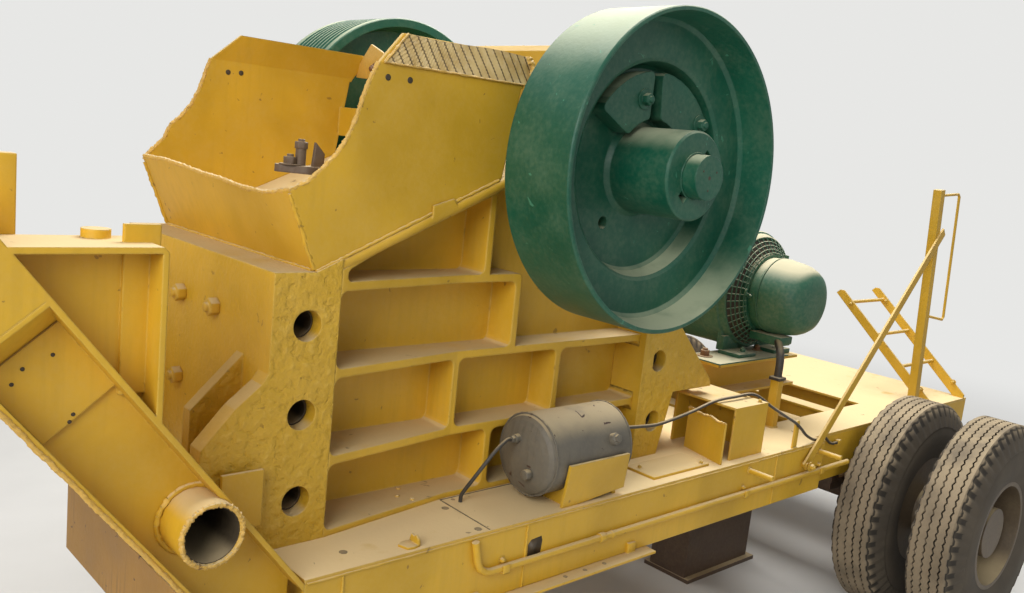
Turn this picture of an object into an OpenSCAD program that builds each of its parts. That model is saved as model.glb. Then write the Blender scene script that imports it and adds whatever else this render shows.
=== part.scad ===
// Portable jaw crusher on a gooseneck trailer chassis.
// All sizes are in millimetres. The origin lies on the ground below the middle of the
// machine, +X points to the road wheels, -Y is the side that the photo shows, +Z is up.

/* [Chassis] */
// Overall length from the gooseneck head to the end of the deck
length = 5750; // [5600:10:6000]
// Outer width over the side rails
chassis_w = 1400; // [1380:10:1440]
// Outer width over the rails between the road wheels
bay_w = 1300; // [1260:10:1310]
// Height of the deck's top face above the ground
deck_z = 920; // [900:5:960]
// Height of the side rails
rail_h = 215; // [190:5:230]
// Width of the side rails' flanges
rail_flange = 110; // [90:5:130]
// Plate thickness of the rails
rail_t = 14; // [10:1:18]
// Thickness of the deck plates
deck_t = 12; // [10:1:16]
// From the crusher shaft back to the step in the rails
bay_x = 1500; // [1490:5:1600]
// How far the front casting stands out over the rails' front end
rail_lap = 30; // [20:2:40]
// From the crusher shaft back to the opening in the rear deck
opening_x = 1250; // [1200:10:1300]
// Length of the opening in the rear deck
opening_l = 1100; // [1000:10:1200]
// Width of the opening in the rear deck
opening_w = 860; // [850:5:900]

/* [Gooseneck] */
// Slope of the gooseneck beams
neck_angle = 51; // [49:0.5:53]
// Depth of the gooseneck beams
neck_h = 215; // [190:5:240]
// Width of the gooseneck flanges
neck_w = 180; // [160:5:195]
// Plate thickness of the gooseneck
neck_t = 14; // [10:1:18]
// Height of the head's top face
head_z = 1900; // [1880:5:1960]
// Depth of the head
head_h = 400; // [360:10:440]
// Height of the knee bracket's top face
knee_z = 1786; // [1740:2:1800]
// From the rails' front end to the knee's upright flange
knee_out = 393; // [380:1:410]
// Outer diameter of the cross tube
tube_d = 160; // [144:2:176]
// Bore of the cross tube
tube_bore = 138; // [110:2:140]
// Diameter of the king pin
pin_d = 50.8; // [50:0.2:52]

/* [Crusher frame] */
// From the deck up to the shaft axis
shaft_h = 1120; // [1100:5:1150]
// From the shaft forward to the front face of the front casting
front_len = 1156; // [1144:2:1170]
// From the shaft back to the rear casting
rear_x = 451; // [440:1:470]
// Width over the front flanges
frame_w = 998; // [980:2:1010]
// Thickness of the front flanges and the front wall
cast_t = 60; // [50:2:70]
// Width of the front flanges along X
flange_len = 204; // [190:2:220]
// From the deck up to the top of the front casting
cast_h = 770; // [760:2:780]
// Width over the side plates
side_w = 618; // [600:2:640]
// Thickness of the side plates
side_t = 40; // [30:2:50]
// Width over the straight part of the ribs
rib_w = 856; // [840:2:870]
// Thickness of the ribs
rib_t = 25; // [18:1:30]
// Radius of the fillets between the ribs
fillet_r = 24; // [10:1:32]
// Slope of the top flange between the front casting and the bearing
top_slope = 24; // [22:0.5:25]
// Thickness of the sloped top flange
top_t = 40; // [30:2:46]
// Diameter of the holes across the flanges
hole_d = 86; // [70:2:100]
// Width over the rear flanges
rear_w = 918; // [900:2:940]
// Thickness of the fixed jaw plate
jaw_t = 50; // [40:2:60]

/* [Shaft and flywheels] */
// Diameter of the flywheels
wheel_d = 1000; // [960:5:1020]
// Width of the near flywheel's rim
wheel_w = 263; // [250:1:280]
// Width of the grooved far flywheel's rim
sheave_w = 298; // [280:2:320]
// From the middle of the machine to the inner face of each rim
wheel_y = 606; // [600:2:620]
// Depth from the rim's edge to the web's ring
web_depth = 120; // [100:2:130]
// Further depth of the round pocket in the web
pocket_depth = 70; // [50:2:80]
// Diameter of the pocket
pocket_d = 670; // [640:5:700]
// Diameter of the hub
hub_d = 274; // [250:2:290]
// How far the hub stands out of the rim
hub_out = 49; // [30:1:60]
// Diameter of the shaft's ends
shaft_d = 136; // [120:2:150]
// How far the shaft's end stands out of the near hub
shaft_out = 52; // [30:1:60]
// Diameter of the shaft in the bearings
journal_d = 190; // [180:2:200]
// Outer diameter of the bearing housings
bearing_d = 440; // [420:5:460]
// Clearance between pieces that turn in or seat on one another
fit = 0.3; // [0.2:0.05:0.5]
// Number of belt grooves on the far flywheel
grooves = 8; // [5:1:9]

/* [Hopper] */
// Distance between the middles of the hopper's side plates
hopper_w = 964; // [950:2:966]
// Thickness of the hopper plates
hopper_t = 12; // [10:1:14]
// From the deck up to the fold of the hopper's lips
fold_h = 1340; // [1326:2:1360]
// Height of the lips
lip_h = 90; // [70:2:100]
// How far the lips turn inwards
lip_in = 28; // [20:1:40]

/* [Motor] */
// From the crusher shaft back to the motor's axis
motor_x = 1603; // [1580:1:1612]
// Height of the motor's axis above its feet
motor_h = 301; // [294:1:320]
// Diameter of the motor's frame
motor_d = 580; // [560:5:586]
// From the deck up to the motor's feet
base_h = 280; // [260:5:300]
// Width of the motor beams' flanges
beam_w = 200; // [160:5:220]
// Height of the motor beams
beam_h = 150; // [120:5:170]
// Diameter of the motor's end cover
cover_d = 322; // [300:2:340]
// Diameter of the motor's pulley
pulley_d = 360; // [320:5:400]

/* [Running gear] */
// Diameter of the road tyres
tyre_d = 1050; // [1030:5:1070]
// Width of one tyre
tyre_w = 250; // [240:2:260]
// Distance between the two tyres of a pair
dual = 360; // [350:2:380]
// Gap between the rails and the inner tyres
tyre_gap = 15; // [10:1:25]
// Diameter of the rims
rim_d = 520; // [500:5:540]
// From the crusher shaft back to the axle
axle_x = 2232; // [2200:5:2260]
// Size of the square axle
axle_s = 130; // [110:5:140]
// Diameter of the axle's ends
stub_d = 90; // [80:2:100]
// Height of the front trestle's beam above the ground
front_beam_z = 524; // [480:4:560]

/* [Fittings] */
// Diameter of the air tank
tank_d = 274; // [262:2:280]
// Length of the air tank
tank_l = 432; // [420:4:440]
// Height of the air tank above the deck
tank_lift = 24; // [20:1:32]
// Height of the cover box
box_h = 217; // [200:1:226]
// Width of the ladder
ladder_w = 430; // [400:5:450]
// Side of the ladder post
post_s = 42; // [36:1:50]
// Height of the ladder post above the deck
post_h = 1156; // [1100:4:1200]
// Diameter of the side pipe
pipe_d = 24; // [20:1:28]
// Diameter of the air hoses
hose_d = 13; // [10:1:16]

/* [Hidden] */
$fn = 64;

yellow = "goldenrod";
green = "darkgreen";
shaft_x = -315;
rail_front = front_len - rail_lap;
knee_x = rail_front + knee_out;
track = bay_w / 2 + tyre_gap + tyre_w / 2;
shaft_z = deck_z + shaft_h;
rail_top = deck_z - deck_t;
rail_z = rail_top - rail_h;
front_x = -length / 2 - shaft_x;
end_x = length / 2 - shaft_x;
half_w = chassis_w / 2;
half_bay = bay_w / 2;
cast_top = deck_z + cast_h;
flange_y = frame_w / 2;
side_y = side_w / 2;
rib_y = rib_w / 2;
rear_y = rear_w / 2;
fold_z = deck_z + fold_h;
wheel_r = wheel_d / 2;
tyre_r = tyre_d / 2;
feet_z = deck_z + base_h;
motor_z = feet_z + motor_h;
small_bearing_d = bearing_d - 80;
swing_y = side_y - side_t - 8;

// Places a module's shaft coordinates in the frame of the whole machine.
module at_machine() {
    translate([shaft_x, 0, 0]) children();
}

// The same piece on the far side.
module far_side() {
    mirror([0, 1, 0]) children();
}

// A plate with its outline in X and Z, between y0 and y1.
module plate_xz(points, y0, y1) {
    translate([0, y1, 0]) rotate([90, 0, 0]) linear_extrude(y1 - y0) polygon(points);
}

// A plate with its outline in Y and Z, between x0 and x1.
module plate_yz(points, x0, x1) {
    translate([x0, 0, 0]) rotate([90, 0, 90]) linear_extrude(x1 - x0) polygon(points);
}

module block(x0, x1, y0, y1, z0, z1) {
    translate([x0, y0, z0]) cube([x1 - x0, y1 - y0, z1 - z0]);
}

// A round bar along Y.
module rod_y(x, z, d, y0, y1) {
    translate([x, y0, z]) rotate([-90, 0, 0]) cylinder(d = d, h = y1 - y0);
}

// A round bar along X.
module rod_x(y, z, d, x0, x1) {
    translate([x0, y, z]) rotate([0, 90, 0]) cylinder(d = d, h = x1 - x0);
}

// A round bar between two points.
module bar(a, b, d) {
    v = b - a;
    translate(a) rotate([0, acos(v[2] / norm(v)), atan2(v[1], v[0])]) cylinder(d = d, h = norm(v));
}

// A tube along a curve; side is a direction that the curve never runs along.
module tube(points, d, side = [0.1, 1, 0.2], n = 8) {
    last = len(points) - 1;
    rings = [for (i = [0:last]) let (
        t = points[min(i + 1, last)] - points[max(i - 1, 0)],
        u = cross(t, side) / norm(cross(t, side)),
        v = cross(t, u) / norm(t))
        for (k = [0:n - 1]) points[i] + d / 2 * (u * cos(k * 360 / n) + v * sin(k * 360 / n))];
    polyhedron(rings, concat([[for (k = [0:n - 1]) k]],
        [for (i = [0:last - 1]) for (k = [0:n - 1]) [i * n + k, (i + 1) * n + k,
            (i + 1) * n + (k + 1) % n, i * n + (k + 1) % n]],
        [[for (k = [n - 1:-1:0]) last * n + k]]));
}

// Points of an upright arc in X and Z.
function arc(cx, cz, r, a0, a1, n) =
    [for (i = [0:n]) let (a = a0 + (a1 - a0) * i / n) [cx + r * cos(a), cz + r * sin(a)]];

// The outline with each corner rounded to radius r.
function rounded(p, r, n = 4) = [for (i = [0:len(p) - 1]) let (
    a = p[(i + len(p) - 1) % len(p)] - p[i],
    b = p[(i + 1) % len(p)] - p[i],
    u = a / norm(a),
    v = b / norm(b),
    half = acos(u * v) / 2,
    reach = min(r / tan(half), norm(a) * 0.45, norm(b) * 0.45),
    q = reach * tan(half),
    c = p[i] + (u + v) / norm(u + v) * q / sin(half),
    s = atan2((p[i] + u * reach - c)[1], (p[i] + u * reach - c)[0]),
    e = atan2((p[i] + v * reach - c)[1], (p[i] + v * reach - c)[0]),
    d = (e - s + 540) % 360 - 180)
    for (k = [0:n]) c + q * [cos(s + d * k / n), sin(s + d * k / n)]];

// Side rails

module rail() {
    difference() {
        union() {
            block(-rail_front, bay_x + rail_t, -half_w, -half_w + rail_t, rail_z, rail_top);
            block(-rail_front, bay_x + rail_t, -half_w, -half_w + rail_flange, rail_z, rail_z + rail_t);
            block(-rail_front, bay_x + rail_t, -half_w, -half_w + rail_flange, rail_top - rail_t, rail_top);
            block(bay_x, bay_x + rail_t, -half_w, -half_bay + rail_flange, rail_z, rail_top);
            block(bay_x, end_x, -half_bay, -half_bay + rail_t, rail_z, rail_top);
            block(bay_x, end_x, -half_bay, -half_bay + rail_flange, rail_z, rail_z + rail_t);
            block(bay_x, end_x, -half_bay, -half_bay + rail_flange, rail_top - rail_t, rail_top);
        }
        // Slanting slot in the web
        plate_xz(rounded([[-310, rail_z + 98], [-274, rail_z + 98], [-257, rail_z + 156],
            [-293, rail_z + 156]], 16), -half_w - 1, -half_w + rail_t + 1);
    }
}

module rail_near() {
    color(yellow) at_machine() rail();
}

module rail_far() {
    color(yellow) at_machine() far_side() rail();
}

leg_x = [motor_x - 183, motor_x + 197];
cross_front = [66 - rail_front, -480, 330, 900, leg_x[0]];
cross_rear = [leg_x[1], axle_x - 100, axle_x + 280, end_x - 60];
cross_top = rail_top - rail_t;

// A crossmember of I section between the rails' webs.
module crossbar(x, half) {
    block(x - 6, x + 6, -half, half, rail_z + rail_t, cross_top);
    block(x - 50, x + 50, -half, half, rail_z + rail_t, rail_z + rail_t + 12);
    block(x - 50, x + 50, -half, half, cross_top - 12, cross_top);
}

module crossmembers() {
    color(yellow) at_machine() {
        for (x = cross_front) crossbar(x, half_w - rail_t);
        for (x = cross_rear) crossbar(x, half_bay - rail_t);
    }
}

deck_split = 1130;

module deck_front() {
    color(yellow) at_machine() difference() {
        block(-rail_front, deck_split, -half_w, half_w, rail_top, deck_z);
        // Discharge opening under the crushing chamber
        block(cast_t - front_len, rear_x - 150, side_t - side_y, side_y - side_t,
            rail_top - 1, deck_z + 1);
    }
}

module deck_rear() {
    color(yellow) at_machine() difference() {
        union() {
            block(deck_split, bay_x + rail_t, -half_w, half_w, rail_top, deck_z);
            block(bay_x, end_x, -half_bay, half_bay, rail_top, deck_z);
        }
        block(opening_x, opening_x + opening_l, -opening_w / 2, opening_w / 2,
            rail_top - 1, deck_z + 1);
    }
}

// Gooseneck: sloping I beams that carry on in a straight head

neck_out = half_w;
neck_in = half_w - neck_w;
neck_mid = half_w - neck_w / 2;
run = tan(neck_angle);
head_low = head_z - head_h;

// X of the beam's upper and lower faces at a height.
function upper_x(z) = -rail_front - (z - rail_top) / run;
function lower_x(z) = upper_x(z) - neck_h / sin(neck_angle);

tube_z = rail_top + 208;
tube_x = upper_x(tube_z) - 108;
box_s = 1000;
close_s = 920;
doubler_s = 733;

// Coordinates of the sloping beam: Z runs up the beam, -X from its upper to its lower face.
module beam_frame() {
    translate([-rail_front, 0, rail_top]) rotate([0, neck_angle - 90, 0]) children();
}

module neck_outline() {
    polygon([[-rail_front, rail_z], [-rail_front, rail_top], [upper_x(head_z), head_z],
        [front_x, head_z], [front_x, head_low], [lower_x(head_low), head_low],
        [lower_x(rail_z), rail_z]]);
}

// The space between the flanges, open towards the rails.
module neck_inside() {
    flange_run = neck_t / sin(neck_angle);
    polygon([[1 - rail_front, rail_z + neck_t], [1 - rail_front, rail_top - neck_t / cos(neck_angle)],
        [upper_x(head_z - neck_t) - flange_run, head_z - neck_t], [front_x + neck_t, head_z - neck_t],
        [front_x + neck_t, head_low + neck_t],
        [lower_x(head_low + neck_t) + flange_run, head_low + neck_t],
        [lower_x(rail_z + neck_t) + flange_run, rail_z + neck_t]]);
}

module knee() {
    low_z = rail_top + (knee_x - rail_front) * run;
    plate_xz([[-knee_x - neck_t, low_z], [-knee_x - neck_t, knee_z], [upper_x(knee_z), knee_z]],
        -neck_mid - 6, -neck_mid + 6);
    plate_xz([[upper_x(knee_z), knee_z], [upper_x(knee_z - neck_t), knee_z - neck_t],
        [-knee_x - neck_t, knee_z - neck_t], [-knee_x - neck_t, low_z + neck_t * run],
        [-knee_x, low_z], [-knee_x, knee_z - 12], [-knee_x - 12, knee_z]], -neck_out, -neck_in);
    block(-knee_x - 71, 9 - knee_x, -neck_mid - 18, -neck_mid - 5, knee_z - 340, knee_z + 40);
    translate([-knee_x - 104, -neck_mid + 60, knee_z]) cylinder(d = 62, h = 20);
}

module neck() {
    difference() {
        union() {
            difference() {
                translate([0, -neck_in, 0]) rotate([90, 0, 0]) linear_extrude(neck_w) neck_outline();
                translate([0, 1 - neck_in, 0]) rotate([90, 0, 0])
                    linear_extrude(neck_w / 2 - 5) neck_inside();
                translate([0, -neck_mid - 6, 0]) rotate([90, 0, 0])
                    linear_extrude(neck_w / 2) neck_inside();
            }
            knee();
            // Flush cover plate over the upper part
            difference() {
                translate([0, 12 - neck_out, 0]) rotate([90, 0, 0]) linear_extrude(12) neck_outline();
                beam_frame() block(-neck_h - 200, 20, -neck_out - 1, 13 - neck_out, -900, box_s);
            }
            // Sloping end of the cover, and the doubler on the web
            beam_frame() plate_yz([[-neck_out, box_s - 12], [-neck_out, box_s],
                [-neck_mid, close_s + 12], [-neck_mid, close_s]], 1 - neck_h + neck_t, 1 - neck_t);
            beam_frame() block(1 - neck_h + neck_t, 1 - neck_t, -neck_mid - 16, -neck_mid - 5,
                doubler_s, close_s + 6);
        }
        rod_y(tube_x, tube_z, tube_d + 2 * fit, -neck_out - 1, -neck_in + 1);
    }
    block(tube_x + 115, tube_x + 232, -neck_in - 14, -neck_in - 2, tube_z - 100, tube_z + 56);
}

module neck_near() {
    color(yellow) at_machine() neck();
}

module neck_far() {
    color(yellow) at_machine() far_side() neck();
}

module cross_tube() {
    color(yellow) at_machine() difference() {
        rod_y(tube_x, tube_z, tube_d, -neck_out - 32, neck_out + 32);
        rod_y(tube_x, tube_z, tube_bore, -neck_out - 33, neck_out + 33);
    }
}

pin_x = (front_x + upper_x(head_z)) / 2;

module neck_head() {
    color(yellow) at_machine() {
        block(front_x, front_x + neck_t, -neck_in, neck_in, head_low, head_z);
        block(upper_x(head_z) - 40, upper_x(head_z) - 40 + neck_t, -neck_in, neck_in, head_low, head_z);
        block(front_x, upper_x(head_z) - 40 + neck_t, -neck_in, neck_in, head_low, head_low + neck_t);
        translate([pin_x, 0, head_low - 84]) cylinder(d = pin_d + 22, h = 20);
        translate([pin_x, 0, head_low - 84]) cylinder(d = pin_d, h = 85);
    }
}

beam_front = lower_x(rail_z) - 67;
beam_high = rail_z + (67 - neck_t) * run;
trestle_w = 1200;

// Cross beam under the gooseneck on two legs with a foot plate.
module front_trestle() {
    color("dimgray") at_machine() {
        block(beam_front, beam_front + neck_t, -trestle_w / 2, trestle_w / 2, front_beam_z, beam_high);
        block(beam_front, beam_front + 170, -trestle_w / 2, trestle_w / 2,
            front_beam_z, front_beam_z + neck_t);
        block(beam_front + 156, beam_front + 170, -trestle_w / 2, trestle_w / 2, front_beam_z, rail_z);
        block(beam_front - 20, beam_front + 190, -300, 300, 0, 20);
        for (y = [-150, 150]) block(beam_front + 30, beam_front + 140, y - 45, y + 45, 19, front_beam_z + 1);
    }
}

// Crusher frame

foot_x = front_len + 178;
slope = tan(top_slope);
slope_x = 125 - front_len;
ledge_x = slope_x + 21;
flange_x = flange_len - front_len;
jaw_x = cast_t - front_len;

// Height of the sloped flange's top face.
function slope_z(x) = cast_top + (x - slope_x) * slope;

module front_flange() {
    difference() {
        plate_xz([[-front_len, cast_top], [10 - front_len, cast_top - 256],
            [-front_len - 18, cast_top - 297], [-front_len - 90, cast_top - 356],
            [-foot_x, cast_top - 456], [-foot_x, deck_z + 120], [-front_len - 120, deck_z + 12],
            [-front_len, deck_z], [flange_x, deck_z], [flange_x, slope_z(flange_x)],
            [slope_x, cast_top]], -flange_y, cast_t - flange_y);
        for (z = [146, 394, 642])
            rod_y(flange_x - 98, cast_top - z, hole_d, -flange_y - 1, cast_t - flange_y + 1);
        rod_y(tube_x, tube_z, tube_d + 2 * fit, -flange_y - 1, cast_t - flange_y + 1);
    }
}

module front_casting() {
    color(yellow) at_machine() {
        front_flange();
        far_side() front_flange();
        block(-front_len, jaw_x, -flange_y, flange_y, deck_z, cast_top);
        block(-front_len, ledge_x, -flange_y, flange_y, cast_top - 40, cast_top);
        for (s = [-1, 1]) plate_xz([[1 - front_len, cast_top - 249], [-front_len, cast_top - 249],
            [34 - foot_x, cast_top - 394], [34 - foot_x, deck_z + 60], [-front_len, deck_z],
            [1 - front_len, deck_z]], s * 332 - 20, s * 332 + 20);
    }
}

rib1_z = cast_top - 30;
rib2_z = cast_top - 277;
rib3_z = cast_top - 530;

// A pocket between two upright ribs and two level ones, with filleted corners.
module pocket(x0, x1, z0, z1) {
    polygon(rounded([[x0, z0], [x1, z0], [x1, z1], [x0, z1]], fillet_r));
}

v1 = -365;
v2 = -220;
v3 = -457;
v4 = -290;
v5 = 8;
v6 = 150;
rib_half = rib_t / 2;

// The ribs as one outline with filleted pockets.
module rib_pattern() {
    difference() {
        polygon([[flange_x, deck_z], [rear_x, deck_z], [rear_x, rib2_z], [v2 + rib_half, rib2_z],
            [v2 + rib_half, rib1_z - 10], [v2 + rib_half - 10, rib1_z], [v1 + rib_half, rib1_z],
            [v1 + rib_half, slope_z(v1) - 36], [flange_x, slope_z(flange_x) - 30]]);
        polygon(rounded([[flange_x + 20, rib1_z], [v1 - rib_half, rib1_z],
            [v1 - rib_half, slope_z(v1) - top_t - 6], [flange_x + 20, slope_z(flange_x + 20) - top_t]],
            fillet_r));
        pocket(flange_x, v2 - rib_half, rib2_z, rib1_z - rib_t);
        pocket(flange_x, v3 - rib_half, rib3_z, rib2_z - rib_t);
        pocket(v3 + rib_half, v5 - rib_half, rib3_z, rib2_z - rib_t);
        pocket(v5 + rib_half, rear_x, rib3_z, rib2_z - rib_t);
        pocket(flange_x, v4 - rib_half, deck_z + 18, rib3_z - rib_t);
        pocket(v4 + rib_half, v6 - rib_half, deck_z + 18, rib3_z - rib_t);
        pocket(v6 + rib_half, rear_x, deck_z + 18, rib3_z - rib_t);
    }
}

module side_plate() {
    nose_z = slope_z(flange_x) - top_t / 2;
    difference() {
        union() {
            plate_xz([[jaw_x, deck_z], [rear_x, deck_z], [rear_x, cast_top - 47],
                [bearing_d / 2, cast_top + 163], [bearing_d / 2, shaft_z], [-bearing_d / 2, shaft_z],
                [flange_x, slope_z(flange_x) - 8], [ledge_x, slope_z(ledge_x)],
                [ledge_x, cast_top - 40], [jaw_x, cast_top - 40]], -side_y, side_t - side_y);
            rod_y(0, shaft_z, bearing_d, -side_y, side_t - side_y);
            // Ribs, as deep as the front flange at the front and shallower behind the kink
            difference() {
                translate([0, -side_y, 0]) rotate([90, 0, 0]) linear_extrude(flange_y - side_y)
                    rib_pattern();
                translate([0, 0, deck_z - 1]) linear_extrude(1200) polygon([
                    [flange_x, -flange_y], [v3, -rib_y], [rear_x + 1, -rib_y],
                    [rear_x + 1, -flange_y - 1], [flange_x, -flange_y - 1]]);
            }
            // Sloped top flange with its round nose
            plate_xz([[flange_x, slope_z(flange_x)], [flange_x, slope_z(flange_x) - top_t],
                [-bearing_d / 2 + 20, slope_z(-bearing_d / 2) - top_t],
                [-bearing_d / 2, slope_z(-bearing_d / 2)]], top_t / 2 - flange_y, side_t - side_y);
            intersection() {
                bar([flange_x - 60, top_t / 2 - flange_y, nose_z - 60 * slope],
                    [-240, top_t / 2 - flange_y, nose_z + (-240 - flange_x) * slope],
                    top_t * cos(top_slope) - 1);
                block(flange_x, -200, -flange_y, -side_y, deck_z, deck_z + 1400);
            }
            // Small pad on the flange's edge
            plate_xz([[-659, slope_z(-659) - 16], [-659, slope_z(-659) + 24], [-584, slope_z(-584) + 14],
                [-567, slope_z(-567) - 16]], 2 - flange_y, 9 - flange_y);
        }
        rod_y(0, shaft_z, journal_d + 30, -side_y - 1, side_t - side_y + 1);
        // Seat round the bearing housing
        rod_y(0, shaft_z, bearing_d + 2 * fit, -flange_y - 1, -side_y);
    }
}

module side_near() {
    color(yellow) at_machine() side_plate();
}

module side_far() {
    color(yellow) at_machine() far_side() side_plate();
}

module rear_flange() {
    difference() {
        plate_xz([[rear_x, deck_z], [rear_x + 150, deck_z], [rear_x + 211, deck_z + 250],
            [rear_x + 465, deck_z + 250], [rear_x + 457, deck_z + 279], [rear_x + 231, deck_z + 499],
            [rear_x, deck_z + 723]], -rear_y, cast_t - rear_y);
        rod_y(rear_x + 95, deck_z + 387, hole_d, -rear_y - 1, cast_t - rear_y + 1);
        rod_y(rear_x + 101, deck_z + 142, hole_d, -rear_y - 1, cast_t - rear_y + 1);
    }
}

module rear_casting() {
    color(yellow) at_machine() {
        rear_flange();
        far_side() rear_flange();
        block(rear_x, rear_x + cast_t, -rear_y, rear_y, deck_z, deck_z + 660);
        block(rear_x, rear_x + 429, -rear_y, rear_y, deck_z + 250, deck_z + 279);
    }
}

// Bearing housing on a side plate's outer face.
module bearing() {
    translate([0, 0, shaft_z]) rotate([90, 0, 0]) rotate_extrude() polygon([
        [journal_d / 2 + fit, side_y], [bearing_d / 2, side_y], [bearing_d / 2, side_y + 46],
        [bearing_d / 2 - 12, side_y + 60], [small_bearing_d / 2, side_y + 60],
        [small_bearing_d / 2, wheel_y - 30], [small_bearing_d / 2 - 14, wheel_y - 16],
        [journal_d / 2 + fit, wheel_y - 16]]);
}

module bearings() {
    color(yellow) at_machine() {
        bearing();
        far_side() bearing();
    }
}

cover_w = 840;

module top_cover() {
    color(yellow) at_machine() difference() {
        plate_xz([[-200, shaft_z + 90], [-200, shaft_z + 345], [-180, shaft_z + 365],
            [230, shaft_z + 325], [300, shaft_z + 205], [300, shaft_z + 90]],
            -cover_w / 2, cover_w / 2);
        plate_xz([[-188, shaft_z + 89], [-188, shaft_z + 338], [-174, shaft_z + 352],
            [222, shaft_z + 313], [288, shaft_z + 200], [288, shaft_z + 89]],
            12 - cover_w / 2, cover_w / 2 - 12);
        rod_y(0, shaft_z, small_bearing_d + 2 * fit, -cover_w / 2 - 1, cover_w / 2 + 1);
        rod_y(0, shaft_z, bearing_d + 2 * fit, -side_y - 60 - fit, side_y + 60 + fit);
    }
}

module fixed_jaw() {
    color("gray") at_machine() block(jaw_x, jaw_x + jaw_t, side_t - side_y, side_y - side_t,
        deck_z + 60, cast_top - 40);
}

// X of the swing jaw's back at a height, where the toggle plate bears.
function jaw_back(z) = -760 + (z - deck_z - 130) * 880 / (shaft_h - 250);
toggle_z = deck_z + 215;

module pitman() {
    color("dimgray") at_machine() difference() {
        union() {
            rod_y(0, shaft_z, 340, -swing_y, swing_y);
            plate_xz([[-120, shaft_z + 120], [-470, shaft_z - 60], [-560, shaft_z - 150],
                [-940, deck_z + 150], [-760, deck_z + 130], [120, shaft_z - 120]], -swing_y, swing_y);
        }
        rod_y(0, shaft_z, journal_d + 2 * fit, -side_y, side_y);
    }
}

module toggle() {
    color("dimgray") at_machine() {
        block(rear_x - 160, rear_x, -180, 180, deck_z + 120, deck_z + 290);
        plate_xz([[jaw_back(toggle_z - 20) + fit, toggle_z - 20],
            [jaw_back(toggle_z + 20) + fit, toggle_z + 20],
            [rear_x - 159, toggle_z + 20], [rear_x - 159, toggle_z - 20]], -170, 170);
    }
}

// Shaft and flywheels, all turning about the shaft axis

module shaft() {
    color(green) at_machine() {
        rod_y(0, shaft_z, journal_d, -wheel_y - 40, wheel_y + 40);
        rod_y(0, shaft_z, shaft_d, -wheel_y - wheel_w - hub_out - shaft_out, -wheel_y - 39);
        rod_y(0, shaft_z, shaft_d, wheel_y + 39, wheel_y + sheave_w + 30);
    }
}

// Section of the near flywheel, radius against distance from the inner face.
function wheel_section() = let (w = wheel_w, r = wheel_r, h = hub_d / 2, p = pocket_d / 2,
    floor = w - web_depth - pocket_depth) [
    [shaft_d / 2, 40], [journal_d / 2, 40], [journal_d / 2, 0], [h, 0], [h, 14], [r - 48, 14],
    [r - 36, 0], [r - 4, 0], [r, 4], [r, w - 4], [r - 4, w], [r - 14, w],
    [r - 30, w - web_depth + 12], [r - 42, w - web_depth], [p + 16, w - web_depth],
    [p + 4, w - web_depth - 8], [p - 8, floor + 10], [p - 18, floor],
    [h + 14, floor], [h, floor + 14], [h, w + hub_out - 6], [h - 6, w + hub_out],
    [shaft_d / 2, w + hub_out]];

module flywheel_near() {
    color(green) at_machine() difference() {
        translate([0, -wheel_y, shaft_z]) rotate([90, 0, 0]) rotate_extrude($fn = 96)
            polygon(wheel_section());
        rod_y(-126, shaft_z - 174, 40, -wheel_y - wheel_w, 1 - wheel_y);
        // Keyways in the hub's outer end
        for (a = [52, 232]) translate([0, -wheel_y - wheel_w - hub_out - 1, shaft_z])
            rotate([0, -a, 0]) block(shaft_d / 2 - 2, shaft_d / 2 + 24, 0, 60, -18, 18);
    }
}

groove_step = (sheave_w - 60) / grooves;

function sheave_section() = let (w = sheave_w, r = wheel_r, h = hub_d / 2) concat(
    [[shaft_d / 2, 40], [journal_d / 2, 40], [journal_d / 2, 0], [h, 0], [h, 100], [r - 50, 100],
    [r - 35, 0], [r - 4, 0], [r, 4], [r, 30]],
    [for (i = [0:grooves - 1]) each [[r, 30 + i * groove_step + 4],
        [r - 16, 30 + i * groove_step + groove_step * 0.35],
        [r - 16, 30 + i * groove_step + groove_step * 0.65],
        [r, 30 + (i + 1) * groove_step - 4]]],
    [[r, w - 4], [r - 4, w], [r - 35, w], [r - 50, 160], [h, 160], [h, w], [shaft_d / 2, w]]);

module flywheel_far() {
    color(green) at_machine() translate([0, wheel_y, shaft_z]) rotate([-90, 0, 0])
        rotate_extrude($fn = 96) polygon(sheave_section());
}

// Segments bolted to the floor of the near flywheel's pocket.
weight_t = 62;
weight_y = -wheel_y - wheel_w + web_depth + pocket_depth;

module weight(a0, a1) {
    pts = concat(arc(0, shaft_z, pocket_d / 2 - 26, a0, a1, 6),
        arc(0, shaft_z, hub_d / 2 + 26, a1 - 6, a0 + 6, 4));
    plate_xz(rounded(pts, 20, 3), weight_y - weight_t, weight_y);
}

module counterweights() {
    color(green) at_machine() {
        weight(96, 146);
        weight(36, 89);
    }
}

// Hopper of torch-cut plates

hop_y = hopper_w / 2;
hop_out = hop_y + hopper_t / 2;
hop_in = hop_y - hopper_t / 2;
tilt = 0.427;
near_cut = [[-36, 240], [6, 277], [43, 316], [75, 368], [96, 420], [113, 478],
    [128, 519], [151, fold_h - cast_h]];
far_cut = [[-78, 238], [-29, 288], [-8, 336], [26, 366], [58, 406], [84, 459],
    [120, fold_h - cast_h]];
front_cut = [[-484, 213], [-324, 189], [-184, 191], [-66, 202], [64, 207], [164, 216],
    [305, 225], [484, 224]];
hop_rear = -355;

// X of the front plate's outer face at a height above the casting.
function front_at(h) = slope_x - h * tilt;

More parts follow.
